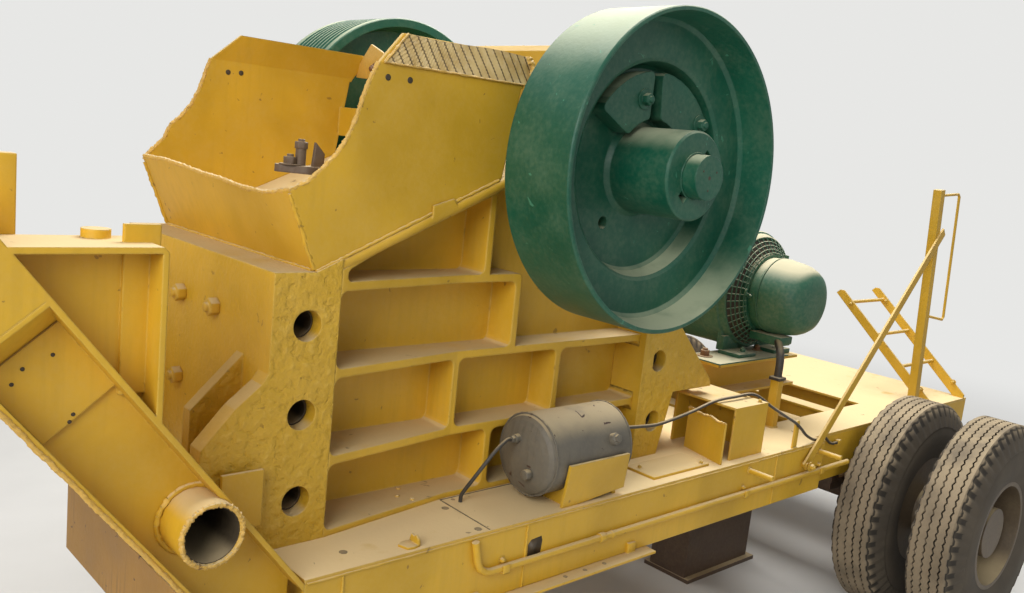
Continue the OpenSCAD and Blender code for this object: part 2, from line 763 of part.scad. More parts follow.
module hopper_side(cut) {
    top_x = slope_x + cut[len(cut) - 1][0];
    lip = [[-hop_out, fold_z - hopper_t], [-hop_out, fold_z], [-hop_out + lip_in, fold_z + lip_h],
        [-hop_in + lip_in, fold_z + lip_h], [-hop_in, fold_z], [-hop_in, fold_z - hopper_t]];
    plate_xz(concat([[slope_x, cast_top], [front_at(213), cast_top + 213]],
        [for (p = cut) [slope_x + p[0], cast_top + p[1]]],
        [[hop_rear, fold_z], [hop_rear - 44, slope_z(hop_rear - 44)]]), -hop_out, -hop_in);
    // Lip turned inwards, its ends cut on a slant
    difference() {
        plate_yz(lip, top_x, hop_rear + 50);
        plate_xz([[top_x - 1, fold_z - 20], [top_x - 1, fold_z + lip_h + 1],
            [top_x + 93, fold_z + lip_h + 1], [top_x, fold_z]], -hop_out - 1, -hop_in + lip_in + 1);
        plate_xz([[hop_rear + 51, fold_z - 20], [hop_rear + 51, fold_z + lip_h - 20],
            [hop_rear, fold_z - 20]], -hop_out - 1, -hop_in + lip_in + 1);
    }
}

module hopper_near() {
    color(yellow) at_machine() hopper_side(near_cut);
}

module hopper_far() {
    color(yellow) at_machine() {
        far_side() hopper_side(far_cut);
        // Low rear plate between the side plates
        block(hop_rear - 37, hop_rear - 25, -hop_in, hop_in, shaft_z + 4, shaft_z + 110);
    }
}

// The leaning front plate between the side plates, its outline drawn along the lean.
module hopper_front() {
    a = atan(tilt);
    pts = concat([[hop_in, 0], [-hop_in, 0]],
        [for (p = front_cut) [max(min(p[0], hop_in), -hop_in), p[1] / cos(a)]]);
    color(yellow) at_machine() translate([slope_x - 1, 0, cast_top]) rotate([0, -a, 0])
        plate_yz(pts, 0, hopper_t);
}

clamp_z = cast_top + 256;

// Rusty clamp on the near plate's inner face: a thick tongue with two lugs on it.
module hopper_lug() {
    color("saddlebrown") at_machine() {
        translate([0, 0, clamp_z]) linear_extrude(20) polygon(rounded([[slope_x + 35, fit - hop_in],
            [slope_x - 35, fit - hop_in], [slope_x - 107, 54 - hop_in],
            [slope_x - 77, 98 - hop_in], [slope_x + 21, 46 - hop_in]], 22));
        translate([slope_x - 37, 42 - hop_in, clamp_z + 19]) cylinder(d = 28, h = 48);
        plate_xz([[slope_x - 13, clamp_z + 19], [slope_x + 19, clamp_z + 19],
            [slope_x + 21, clamp_z + 56], [slope_x - 7, clamp_z + 84]], 18 - hop_in, 28 - hop_in);
    }
}

// Motor

motor_y0 = -157;
motor_y1 = 420;
grille_y = motor_y0 - 92;
beam_mid = [-220, 380];

module motor() {
    r = motor_d / 2;
    color(green) at_machine() difference() {
        union() {
            translate([motor_x, 0, motor_z]) rotate([90, 0, 0]) rotate_extrude() polygon(concat(
                [[0, -motor_y1], [r - 80, -motor_y1], [r - 50, 20 - motor_y1], [r, 70 - motor_y1],
                [r, -motor_y0], [r - 18, 30 - motor_y0], [r - 76, -grille_y]],
                [for (i = [0:3]) each [[r - 84 - i * 12, -grille_y], [r - 84 - i * 12, -grille_y - 8],
                    [r - 90 - i * 12, -grille_y - 8], [r - 90 - i * 12, -grille_y]]],
                [[0, -grille_y]]));
            for (s = [-1, 1]) for (y = beam_mid)
                block(motor_x + s * 150 - 70, motor_x + s * 150 + 70, y - 60, y + 60,
                    feet_z, motor_z - 150);
        }
        rod_y(motor_x, motor_z, 90 + 2 * fit, motor_y1 - 80, motor_y1 + 1);
    }
}

module motor_cover() {
    color(green) at_machine() translate([motor_x, grille_y, motor_z]) rotate([90, 0, 0])
        rotate_extrude() polygon([[0, 0], [cover_d / 2 - 6, 0], [cover_d / 2 - 6, 44],
            [cover_d / 2, 50], [cover_d / 2, 134], [cover_d / 2 - 4, 138], [cover_d / 2 - 8, 190],
            [cover_d / 2 - 22, 228], [cover_d / 2 - 52, 246], [0, 252]]);
}

// Two I beams along X on legs that stand on the crossmembers.
module motor_base() {
    x0 = motor_x - 430;
    x1 = motor_x + 229;
    color(yellow) at_machine() for (y = beam_mid) {
        block(x0, x1, y - 6, y + 6, feet_z - beam_h, feet_z);
        block(x0, x1, y - beam_w / 2, y + beam_w / 2, feet_z - 12, feet_z);
        block(x0, x1, y - beam_w / 2, y + beam_w / 2, feet_z - beam_h, feet_z - beam_h + 12);
        for (x = leg_x) block(x - 40, x + 40, y - 40, y + 40, cross_top, feet_z - beam_h + 1);
    }
}

module motor_pulley() {
    color(green) at_machine() {
        rod_y(motor_x, motor_z, pulley_d, wheel_y, wheel_y + sheave_w);
        rod_y(motor_x, motor_z, 90, motor_y1 - 80, wheel_y + 1);
    }
}

// Fittings on the near deck

tank_y = -568;
tank_z = deck_z + tank_lift + tank_d / 2;
tank_x = -265;

module air_tank() {
    r = tank_d / 2;
    color("gray") at_machine() {
        translate([tank_x, tank_y, tank_z]) rotate([0, 90, 0]) rotate_extrude() polygon(concat(
            [[0, 0]], [for (i = [1:6]) [(r - 4) * sin(i * 15), 34 * (1 - cos(i * 15))]],
            [[r, 34], [r, tank_l - 34]],
            [for (i = [6:-1:1]) [(r - 4) * sin(i * 15), tank_l - 34 * (1 - cos(i * 15))]],
            [[0, tank_l]]));
        rod_x(tank_y + 24, tank_z + 52, 30, tank_x - 14, tank_x + 30);
        rod_x(tank_y, tank_z + 30, 30, tank_x + tank_l - 30, tank_x + tank_l + 14);
    }
}

// Leaning outer plate, its lower edge cut on a slant, with two saddles under the tank.
module tank_bracket() {
    color(yellow) at_machine() {
        difference() {
            for (x = [-140, 100]) block(x, x + 12, tank_y - 106, tank_y + 90, deck_z, tank_z - 60);
            rod_x(tank_y, tank_z, tank_d + 2 * fit, tank_x, tank_x + tank_l);
        }
        intersection() {
            plate_yz([[tank_y - 116, deck_z], [tank_y - 104, deck_z], [tank_y - 144, tank_z],
                [tank_y - 156, tank_z]], -200, 150);
            plate_xz([[-162, deck_z], [-100, deck_z], [136, deck_z + 24], [106, tank_z + 1],
                [-184, tank_z + 1]], tank_y - 160, tank_y - 100);
        }
    }
}

box_x = 824;

module cover_box() {
    color(yellow) at_machine() {
        difference() {
            block(box_x, box_x + 230, -660, -360, deck_z, deck_z + box_h);
            block(box_x - 1, box_x + 220, -650, -370, deck_z - 1, deck_z + box_h - 10);
        }
        // Torn door plate, standing askew before the opening
        translate([box_x - 25, -450, deck_z]) rotate([0, 0, -105]) block(0, 232, 0, 8, 0, 168);
    }
}

conduit_y = -opening_w / 2 - 24;

// Raised plate, torn bracket, upright flat bar, step, cable conduit and hose clip.
module deck_fittings() {
    color(yellow) at_machine() {
        block(349, 690, -657, -520, deck_z, deck_z + 10);
        block(-800, -745, -690, -640, deck_z, deck_z + 8);
        block(-753, -745, -690, -640, deck_z, deck_z + 34);
        block(1240, 1272, 4 - half_w, 12 - half_w, deck_z, deck_z + 122);
        block(1112, 1146, -half_w - 130, -half_w, deck_z - 46, deck_z - 36);
        block(1428, 1472, conduit_y - 22, conduit_y + 22, deck_z, deck_z + 247);
        block(1700, 1730, -half_bay - 20, -half_bay, deck_z - 62, deck_z - 38);
    }
}

// Ladder, post and brace

ladder_x = end_x - 40;
stair_a = [17 - half_bay, deck_z + 19];
stair_b = [-30, deck_z + 530];

// A point on the stair's upper edge, in Y and Z.
function stair(t) = stair_a + (stair_b - stair_a) * t;

module ladder() {
    color(yellow) at_machine() {
        for (x = [ladder_x - ladder_w, ladder_x]) plate_yz([[-half_bay, deck_z], [60 - half_bay, deck_z],
            stair_b + [20, -20], stair_b, stair_b + [-24, 0], [-half_bay, deck_z + 20]], x, x + 10);
        for (t = [0.32, 0.6, 0.9]) rod_x(stair(t)[0], stair(t)[1] - 12, 20,
            ladder_x - ladder_w + 5, ladder_x + 5);
    }
}

post_x = end_x - 655;
post_y = 22 - half_bay;
brace_low = [1347, -half_w - 12.5, deck_z - 85];
brace_high = [post_x - 62, post_y - post_s / 2 - 3, deck_z + 936];

module post() {
    top = [post_x - 129, post_y, deck_z + post_h];
    a = atan(129 / post_h);
    v = brace_high - brace_low;
    color(yellow) at_machine() {
        intersection() {
            translate([post_x, post_y, deck_z]) rotate([0, -a, 0])
                block(-post_s / 2, post_s / 2, -post_s / 2, post_s / 2, -20, post_h / cos(a));
            block(post_x - 300, post_x + 100, post_y - 60, post_y + 60, deck_z, deck_z + 1400);
        }
        // Grab rail
        tube([top + [5, 0, -30], top + [234, 0, -13], top + [250, 0, -26], top + [321, 0, -664],
            top + [308, 0, -678], top + [76, 0, -643]], 14, [0, 1, 0], 12);
        // Brace from the chassis side up to the post, with its lower bolt
        translate(brace_low) rotate([0, acos(v[2] / norm(v)), atan2(v[1], v[0])])
            block(-22, 22, -5, 5, -14, norm(v) + 20);
        rod_y(brace_low[0], brace_low[2], 24, -half_w - 24, -half_w);
    }
}

// Straight pipe along the rail with an upturned end.
module side_pipe() {
    y = -max(half_w, half_bay) - pipe_d / 2;
    z = rail_z + 97;
    color(yellow) at_machine() tube([[bay_x + 230, y, z], [-484, y, z], [-508, y, z + 6],
        [-528, y, z + 20], [-540, y, z + 44], [-556, y, z + 112]], pipe_d, [0, 1, 0], 16);
}

// Points along the smooth curve through a route.
function spline(p, n) = concat([for (i = [0:len(p) - 2]) let (
    a = p[max(i - 1, 0)], b = p[i], c = p[i + 1], d = p[min(i + 2, len(p) - 1)])
    for (k = [0:n - 1]) let (t = k / n) 0.5 * (2 * b + (c - a) * t
    + (2 * a - 5 * b + 4 * c - d) * t * t + (3 * b - a - 3 * c + d) * t * t * t)], [p[len(p) - 1]]);

front_route = [[-279.3, -544, 1133], [-295, -544, 1133], [-311, -544, 1133], [-348, -541, 1106],
    [-380, -530, 1062], [-410, -510, 1005], [-428, -484, 950], [-429, -480, 932], [-429, -480, 920.5]];
rear_route = [[181.3, -568, 1111], [200, -568, 1111], [220, -568, 1111], [340, -574, 1102],
    [450, -576, 1099], [632, -576, 1121], [795, -572, 1147], [931, -576, 1152], [1070, -580, 1147],
    [1150, -625, 1095], [1212, -692, 1048], [1238, -704, 1030], [1276, -704, 1006], [1340, -698, 966],
    [1430, -690, 932], [1500, -688, 929], [1530, -686, 928], [1575, -676, 906], [1625, -664, 882],
    [1666, -660, 870], [1683, -660, 870], [1699.7, -660, 870]];
lead_route = [[1450, -454, 1167.3], [1450, -454, 1182], [1450, -454, 1198], [1462, -440, 1240],
    [1490, -390, 1283], [1528, -325, 1305], [1545, -290, 1310], [1545, -270, 1310],
    [1545, grille_y - fit, 1310]];

module hoses() {
    color("dimgray") at_machine() {
        tube(spline(front_route, 4), hose_d);
        tube(spline(rear_route, 2), hose_d);
        tube(spline(lead_route, 2), 2 * hose_d, [1, 0, 0]);
    }
}

// Stand and running gear

stand_x = 1434;
stand_l = 588;

module rear_stand() {
    color("dimgray") at_machine() {
        block(stand_x, stand_x + stand_l, -140, 140, 0, 20);
        block(stand_x + 6, stand_x + stand_l - 32, -110, 110, 19, rail_z + rail_t);
    }
}

axle_z = tyre_r;
spring_y = half_bay - 90;
stub_end = track + dual + 60;

module axle() {
    color("dimgray") at_machine() {
        block(axle_x - axle_s / 2, axle_x + axle_s / 2, 40 - half_bay, half_bay - 40,
            axle_z - axle_s / 2, axle_z + axle_s / 2);
        rod_y(axle_x, axle_z, stub_d, -stub_end, 41 - half_bay);
        rod_y(axle_x, axle_z, stub_d, half_bay - 41, stub_end);
        for (s = [-1, 1]) {
            block(axle_x - 400, axle_x + 400, s * spring_y - 40, s * spring_y + 40,
                axle_z + axle_s / 2 - 1, axle_z + axle_s / 2 + 50);
            for (x = [-370, 370]) block(axle_x + x - 30, axle_x + x + 30,
                s * spring_y - 44, s * spring_y + 44, axle_z + axle_s / 2 + 40, rail_z);
        }
    }
}

// Rims and hub of one wheel pair.
module rims() {
    difference() {
        union() {
            for (y = [track, track + dual])
                rod_y(axle_x, axle_z, rim_d, 20 - y - tyre_w / 2, tyre_w / 2 - 20 - y);
            rod_y(axle_x, axle_z, 240, -track - dual - 40, tyre_w / 2 - 20 - track);
        }
        rod_y(axle_x, axle_z, rim_d - 40, -track - dual - tyre_w / 2, 20 - track - dual);
        rod_y(axle_x, axle_z, stub_d + 2 * fit, -track - dual - 41, 0);
    }
    // Hub cap over the axle's end
    difference() {
        rod_y(axle_x, axle_z, 240, -stub_end - 15, 20 - track - dual);
        rod_y(axle_x, axle_z, 190, -stub_end - fit, 21 - track - dual);
    }
}

module wheels_near() {
    color("dimgray") at_machine() rims();
}

module wheels_far() {
    color("dimgray") at_machine() far_side() rims();
}

// One tyre's section, radius against width.
function tyre_section() = let (w = tyre_w / 2, r = tyre_r, q = rim_d / 2) [
    [q, 20 - w], [q + 60, -w], [r - 120, -w], [r - 50, 14 - w], [r - 12, 32 - w], [r, 46 - w],
    [r, w - 46], [r - 12, w - 32], [r - 50, w - 14], [r - 120, w], [q + 60, w], [q, w - 20]];

module tyre(y) {
    translate([axle_x, -y, axle_z]) rotate([90, 0, 0]) rotate_extrude($fn = 96)
        polygon(tyre_section());
}

module tyres_near() {
    color("dimgray") at_machine() {
        tyre(track);
        tyre(track + dual);
    }
}

module tyres_far() {
    color("dimgray") at_machine() far_side() {
        tyre(track);
        tyre(track + dual);
    }
}

rail_near();
rail_far();
crossmembers();
deck_front();
deck_rear();
neck_near();
neck_far();
cross_tube();
neck_head();
front_trestle();
front_casting();
side_near();
side_far();
rear_casting();
bearings();
top_cover();
fixed_jaw();
pitman();
toggle();
shaft();
flywheel_near();
flywheel_far();
counterweights();
hopper_front();
hopper_near();
hopper_far();
hopper_lug();
motor();
motor_cover();
motor_base();
motor_pulley();
air_tank();
tank_bracket();
cover_box();
deck_fittings();
ladder();
post();
side_pipe();
hoses();
rear_stand();
axle();
wheels_near();
wheels_far();
tyres_near();
tyres_far();
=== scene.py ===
"""Portable jaw crusher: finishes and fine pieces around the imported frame."""
import math
import random
from collections import namedtuple

import bmesh
import bpy
from mathutils import Matrix, Vector


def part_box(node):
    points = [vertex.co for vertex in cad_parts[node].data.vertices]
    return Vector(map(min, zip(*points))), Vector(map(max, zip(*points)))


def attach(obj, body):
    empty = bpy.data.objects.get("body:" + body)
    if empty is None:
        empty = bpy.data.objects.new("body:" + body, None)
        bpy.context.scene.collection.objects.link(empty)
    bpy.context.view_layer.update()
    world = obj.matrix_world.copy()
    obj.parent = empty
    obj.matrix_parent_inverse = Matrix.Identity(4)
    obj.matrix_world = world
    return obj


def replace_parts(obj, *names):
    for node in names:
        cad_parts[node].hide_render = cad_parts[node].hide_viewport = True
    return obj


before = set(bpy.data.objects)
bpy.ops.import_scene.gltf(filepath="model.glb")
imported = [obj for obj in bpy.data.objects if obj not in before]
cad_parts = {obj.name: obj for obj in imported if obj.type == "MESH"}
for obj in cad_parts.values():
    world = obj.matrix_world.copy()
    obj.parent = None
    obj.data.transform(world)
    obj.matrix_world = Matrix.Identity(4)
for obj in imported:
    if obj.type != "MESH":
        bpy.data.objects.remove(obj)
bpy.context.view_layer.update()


# View, floor and light
# The machine stands on plain pale ground under one wide overhead softbox, with
# a weaker fill from the front left. Nothing here is part of the machine.
eye = bpy.data.cameras.new("eye")
eye.lens, eye.sensor_width = 32.875, 36.0
eye_stand = bpy.data.objects.new("eye", eye)
eye_place = Vector((-2.657, -2.651, 2.080))
eye_right = Vector((0.73515, -0.66996, 0.1035))
eye_up = Vector((0.03296, 0.18781, 0.98165))
eye_back = Vector((-0.67710, -0.71825, 0.16015))
turn = Matrix((eye_right, eye_up, eye_back)).transposed().to_4x4()
eye_stand.matrix_world = Matrix.Translation(eye_place) @ turn
bpy.context.collection.objects.link(eye_stand)
bpy.context.scene.camera = eye_stand
bpy.context.scene.view_settings.view_transform = "Standard"


def softbox(name, place, aim, width, power):
    lamp = bpy.data.lights.new(name, "AREA")
    lamp.shape, lamp.size, lamp.energy = "DISK", width, power
    stand = bpy.data.objects.new(name, lamp)
    stand.location = place
    ray = Vector(aim) - Vector(place)
    stand.rotation_euler = ray.to_track_quat("-Z", "Y").to_euler()
    bpy.context.collection.objects.link(stand)


softbox("overhead", place=(1.6, 1.2, 6.5), aim=(0, 0, 1), width=5.0, power=580)
softbox("front_fill", place=(-6.0, -3.2, 4.2), aim=(-0.5, 0, 1.2), width=4.0,
        power=280)


class Coat:
    """A socket of a finish; sums and products of coats add Math nodes."""

    def __init__(self, tree, socket=None):
        self.tree, self.socket = tree, socket

    def node(self, kind, settings=None, sockets=None, out=0):
        made = self.tree.nodes.new(kind)
        for key, value in (settings or {}).items():
            setattr(made, key, value)
        for key, value in (sockets or {}).items():
            if isinstance(value, Coat):
                self.tree.links.new(value.socket, made.inputs[key])
            else:
                made.inputs[key].default_value = value
        return Coat(self.tree, made.outputs[out])

    def maths(self, operation, *values):
        return self.node("ShaderNodeMath", {"operation": operation},
                         dict(enumerate(values)))

    def __add__(self, other):
        return self.maths("ADD", self, other)

    def __sub__(self, other):
        return self.maths("SUBTRACT", self, other)

    def __rsub__(self, other):
        return self.maths("SUBTRACT", other, self)

    def __mul__(self, other):
        return self.maths("MULTIPLY", self, other)

    def within(self, low, high):
        """0 below low, 1 above high, with a soft step between."""
        return self.node("ShaderNodeMapRange",
                         {"interpolation_type": "SMOOTHSTEP"},
                         {"Value": self, "From Min": low, "From Max": high})

    def tint(self, under, over):
        """The colour over laid on the colour under, as far as this mask."""
        # A Mix node's colours are its inputs 6 and 7 and its output 2.
        return self.node("ShaderNodeMix", {"data_type": "RGBA"},
                         {0: self, 6: under, 7: over}, out=2)

    def place(self, scale=(1, 1, 1)):
        where = self.node("ShaderNodeTexCoord", out="Object")
        return self.node("ShaderNodeMapping", None,
                         {"Vector": where, "Scale": scale})

    def way(self, axis):
        """The place along one axis, in metres."""
        return self.node("ShaderNodeSeparateXYZ", None,
                         {"Vector": self.place()}, out=axis)

    def grain(self, size, detail=3.0, scale=(1, 1, 1), warp=0.0):
        """Cloudy noise from 0 to 1; a larger size gives a finer grain."""
        return self.node("ShaderNodeTexNoise", None,
                         {"Vector": self.place(scale), "Scale": size,
                          "Detail": detail, "Distortion": warp})

    def facing(self, axis):
        """How far a face looks along one axis, from -1 to 1."""
        normal = self.node("ShaderNodeTexCoord", out="Normal")
        return self.node("ShaderNodeSeparateXYZ", None, {"Vector": normal},
                         out=axis)


def srgb(red, green, blue):
    def linear(level):
        level /= 255
        if level < 0.04045:
            return level / 12.92
        return ((level + 0.055) / 1.055) ** 2.4
    return (linear(red), linear(green), linear(blue), 1.0)


def new_finish(name):
    finish = bpy.data.materials.new(name)
    finish.use_nodes = True
    tree = finish.node_tree
    return finish, Coat(tree), tree.nodes["Principled BSDF"]


def wire(coat, shader, **sockets):
    for key, value in sockets.items():
        plug = shader.inputs[key.replace("_", " ")]
        if isinstance(value, Coat):
            coat.tree.links.new(value.socket, plug)
        else:
            plug.default_value = value


haze = (0.80, 0.80, 0.785, 1)
sky_light = (0.36, 0.375, 0.395, 1)
clear_to, hidden_from, ground_size = 3.6, 9.0, 30.0
ground_finish, coat, shader = new_finish("pale_ground")
wire(coat, shader, Roughness=0.9, Base_Color=coat.grain(3.0, 4.0).tint(
    srgb(196, 193, 187), srgb(206, 203, 197)))
distance = coat.node("ShaderNodeVectorMath", {"operation": "LENGTH"},
                     {"Vector": coat.place()}, out="Value")
seen = coat.node("ShaderNodeLightPath", out="Is Camera Ray")
veil = coat.node("ShaderNodeEmission", None, {"Color": haze})
both = coat.node("ShaderNodeMixShader", None,
                 {0: distance.within(clear_to, hidden_from) * seen, 2: veil})
coat.tree.links.new(shader.outputs["BSDF"], both.socket.node.inputs[1])
coat.tree.links.new(both.socket,
                    coat.tree.nodes["Material Output"].inputs["Surface"])
ground = bmesh.new()
bmesh.ops.create_grid(ground, x_segments=4, y_segments=4, size=ground_size)
ground_mesh = bpy.data.meshes.new("ground")
ground.to_mesh(ground_mesh)
ground.free()
floor = bpy.data.objects.new("ground", ground_mesh)
bpy.context.collection.objects.link(floor)
ground_mesh.materials.append(ground_finish)
sky = bpy.data.worlds.new("sky")
sky.use_nodes = True
bpy.context.scene.world = sky
air = Coat(sky.node_tree)
seen = air.node("ShaderNodeLightPath", out="Is Camera Ray")
mirrored = air.node("ShaderNodeLightPath", out="Is Glossy Ray")
backdrop = sky.node_tree.nodes["Background"]
sky.node_tree.links.new((seen + mirrored * 0.6).within(0, 1).tint(
    sky_light, haze).socket, backdrop.inputs["Color"])


# Chassis rails
# Two channel rails and their crossmembers, welded from rolled steel plate and
# sprayed golden yellow over an older coat that dust and boots have rubbed.
random.seed(31)
dust_tan = srgb(204, 182, 140)
rust_brown = srgb(92, 58, 38)


def shaded(paint, share, lift=0.0):
    """A paint made darker or paler."""
    return tuple(min(1, level * share + lift) for level in paint[:3]) + (1.0,)


def weathered(name, paint, worn, dust=0.8, chips=0.5, bumps=0.3,
              bump_size=60.0, rough=0.5, edge=0.006, grime=0.1,
              film=dust_tan, under=rust_brown, pits=0.0):
    """Paint with cloudy fading, streaks, dust on top and rubbed edges."""
    finish, coat, shader = new_finish(name)
    normal = coat.node("ShaderNodeNewGeometry", out="Normal")
    soft = coat.node("ShaderNodeBevel", {"samples": 4}, {"Radius": edge})
    rim = 1 - coat.node("ShaderNodeVectorMath",
                        {"operation": "DOT_PRODUCT"},
                        {0: soft, 1: normal}, out="Value")
    broad = coat.grain(2.2, 3.0, warp=0.4)
    cloudy = coat.grain(9.0, 6.0)
    fine = coat.grain(70.0, 4.0)

    # Sun-bleached clouds in the paint, with streaks that rain ran down it.
    runs = coat.grain(46.0, 4.0, scale=(1, 1, 0.07))
    dark = shaded(paint, 0.45)
    shade = broad.within(0.35, 0.68).tint(shaded(paint, 0.84),
                                          shaded(paint, 1.1, 0.004))
    shade = (cloudy.within(0.3, 0.75) * 0.5).tint(shade, paint)
    stain = (runs * broad * 1.9).within(0.5, 0.86) * grime
    shade = stain.tint(shade, dark)

    # A thin film of dust all over, and more lying on faces that look up.
    haze_on = (fine * 0.5 + cloudy * 0.6).within(0.4, 0.85) * (0.12 * dust)
    shade = haze_on.tint(shade, film)
    up = coat.facing(2).within(0.45, 0.95)
    lying = up * (broad * 0.5 + cloudy * 0.7).within(0.22, 0.6) * dust
    shade = lying.tint(shade, film)

    # Edges rubbed pale, and flakes gone down to what is under the paint.
    rubbed = (rim * 2.6 * (cloudy + fine * 0.4)).within(0.12, 0.5)
    shade = (rubbed * 0.62).tint(shade, worn)
    flake = coat.grain(26.0, 9.0, warp=0.6)
    flaked_at = 0.71 - 0.03 * chips
    gone = (flake + rim * 0.22).within(flaked_at, flaked_at + 0.02) * chips
    shade = gone.tint(shade, under)
    height = coat.grain(bump_size, 8.0) * 0.6 + flake * 0.5 - gone * 0.3

    # Marks of the moulding sand, on the flat sides of rough castings.
    if pits:
        side_on = coat.facing(1)
        cast_face = (side_on * side_on).within(0.5, 0.9) * pits
        sand = coat.grain(36.0, 6.0, warp=0.2)
        hollow = (1 - sand.within(0.36, 0.44)) * cast_face
        crest_highlight = sand.within(0.56, 0.66) * cast_face
        # The sand marks' hollows are painted darker, painted shade, and their
        # crests paler, painted highlight.
        shade = (hollow * 0.06).tint(shade, dark)
        shade = (crest_highlight * 0.22).tint(shade, worn)
        height = height + sand * cast_face * 1.8 - hollow * 0.3
    bump = coat.node("ShaderNodeBump", None,
                     {"Strength": bumps, "Distance": 0.004 + 0.003 * pits,
                      "Height": height, "Normal": soft})
    wire(coat, shader, Base_Color=shade,
         Roughness=(lying * 0.35 + cloudy * 0.22 + (rough - 0.1)),
         Normal=bump)
    return finish


def coat_nodes(finish, *names):
    for name in names:
        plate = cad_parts[name]
        plate.data.materials.clear()
        plate.data.materials.append(finish)


shaft_low, shaft_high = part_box("shaft")
origin_x = round(-500 * (shaft_low[0] + shaft_high[0]))
shaft_z = round(500 * (shaft_low[2] + shaft_high[2]))
Limits = namedtuple("Limits", "front near base back far top")


def at(x, y, z):
    """A place in metres, from millimetres behind the crusher's shaft."""
    return Vector(((x - origin_x) / 1000, y / 1000, z / 1000))


def limits_of(node):
    """A solid's outermost faces, in the millimetres that at() takes."""
    return Limits(*(round(level * 1000 + shift, 1)
                    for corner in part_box(node)
                    for level, shift in zip(corner, (origin_x, 0, 0))))


def made(name, work, finish, body="frame", slot="yellow_paint", crease=35):
    """Turns finished mesh work into a piece that rides on a body."""
    mesh = bpy.data.meshes.new(name)
    work.to_mesh(mesh)
    work.free()
    mesh.materials.append(finish)
    mesh.shade_smooth()
    mesh.set_sharp_from_angle(angle=math.radians(crease))
    piece = bpy.data.objects.new(name, mesh)
    bpy.context.collection.objects.link(piece)
    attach(piece, body)
    return piece


def ordered(items):
    """Each item once, in the order in which it came."""
    return list(dict.fromkeys(items))


def along(start, end):
    return (end - start).to_track_quat("Z", "Y").to_matrix()


def settle(work, verts, spin, centre):
    bmesh.ops.rotate(work, cent=(0, 0, 0), matrix=spin, verts=verts)
    bmesh.ops.translate(work, vec=centre, verts=verts)


def add_bead(work, start, end, radius, rough=0.3, step=0.01, sides=7):
    """A weld bead or torch-cut burr: a thin rod with an uneven surface.

    Beads come before the bevelled parts of a piece: a bevel leaves the points
    in no fixed order, and each point here takes its own random number.
    """
    length = (end - start).length
    verts = bmesh.ops.create_cone(
        work, cap_ends=True, segments=sides, radius1=radius, radius2=radius,
        depth=length)["verts"]
    sides_of = [side for side in ordered(e for v in verts
                                         for e in v.link_edges)
                if abs(side.verts[0].co.z - side.verts[1].co.z) > length / 2]
    cut = bmesh.ops.subdivide_edges(
        work, edges=sides_of, cuts=max(1, int(length / step)),
        use_grid_fill=True)["geom_inner"]
    rings = [item for item in cut if isinstance(item, bmesh.types.BMVert)]
    whole = ordered(vert for ring in rings for side in ring.link_edges
                    for vert in side.verts)
    for vert in rings:
        swell = 1 + rough * random.uniform(-1, 1)
        vert.co.x, vert.co.y = vert.co.x * swell, vert.co.y * swell
    settle(work, whole, along(start, end), (start + end) / 2)


def add_beads(work, stops, radius, rough=0.3, step=0.01):
    for start, end in zip(stops, stops[1:]):
        add_bead(work, start, end, radius, rough, step)


yellow = weathered("worn_yellow", srgb(208, 163, 36), srgb(230, 194, 96))
coat_nodes(yellow, "rail_near", "rail_far", "crossmembers")
rail = limits_of("rail_near")
web_joints, deck_seam_end = (-1010, -330, 1120), 1500
work = bmesh.new()
for x in web_joints:
    add_beads(work, [at(x, rail.near - 1, rail.base + 3),
                     at(x, rail.near - 1, rail.top - 3)], 0.004, 0.35, 0.008)
add_beads(work, [at(rail.front + 6, rail.near - 0.5, rail.top),
                 at(deck_seam_end, rail.near - 0.5, rail.top)], 0.0035,
          0.35, 0.02)
made("rail_welds", work, yellow)

# Side bar, steps and pipe
# A drilled flat bar under the near rail, two round steps, and the side pipe
# with its coupling and clips, all mild steel, welded or bolted to the web.
coat_nodes(yellow, "side_pipe")


def add_block(work, low, high, edge=0.0015):
    """A flat bar or block between two corners, with its edges rounded."""
    verts = bmesh.ops.create_cube(work, size=1.0)["verts"]
    bmesh.ops.scale(work, vec=high - low, verts=verts)
    bmesh.ops.translate(work, vec=(low + high) / 2, verts=verts)
    edges = ordered(rim for vert in verts for rim in vert.link_edges)
    bmesh.ops.bevel(work, geom=edges, offset=edge, segments=2, profile=0.5,
                    affect="EDGES", material=-1)


def add_rod(work, start, end, radius, sides=20, edge=0.0):
    """A round bar between two points."""
    verts = bmesh.ops.create_cone(
        work, cap_ends=True, segments=sides, radius1=radius, radius2=radius,
        depth=(end - start).length)["verts"]
    settle(work, verts, along(start, end), (start + end) / 2)
    if edge:
        ends = [rim for rim in ordered(r for v in verts for r in v.link_edges)
                if any(len(face.verts) > 4 for face in rim.link_faces)]
        bmesh.ops.bevel(work, geom=ends, offset=edge, segments=2,
                        profile=0.5, affect="EDGES", material=-1)


def add_bolt(work, seat, axis, across, washer=True):
    """A hexagon nut on its washer, with the bolt's end standing out."""
    axis = Vector(axis).normalized()
    start = seat
    if washer:
        start = seat + axis * across * 0.1
        add_rod(work, seat, start, across * 0.95, 20)
    add_rod(work, start, start + axis * across * 0.62, across * 0.57, 6,
            edge=across * 0.04)
    add_rod(work, start, start + axis * across * 0.85, across * 0.3, 14,
            edge=across * 0.04)


def hoop(x, y, z, radius, count, start=0.0):
    """Points round a level cross axis; the last one is the first again."""
    turns = [step * math.tau / count + start for step in range(count + 1)]
    return [at(x + radius * math.cos(turn), y, z + radius * math.sin(turn))
            for turn in turns]


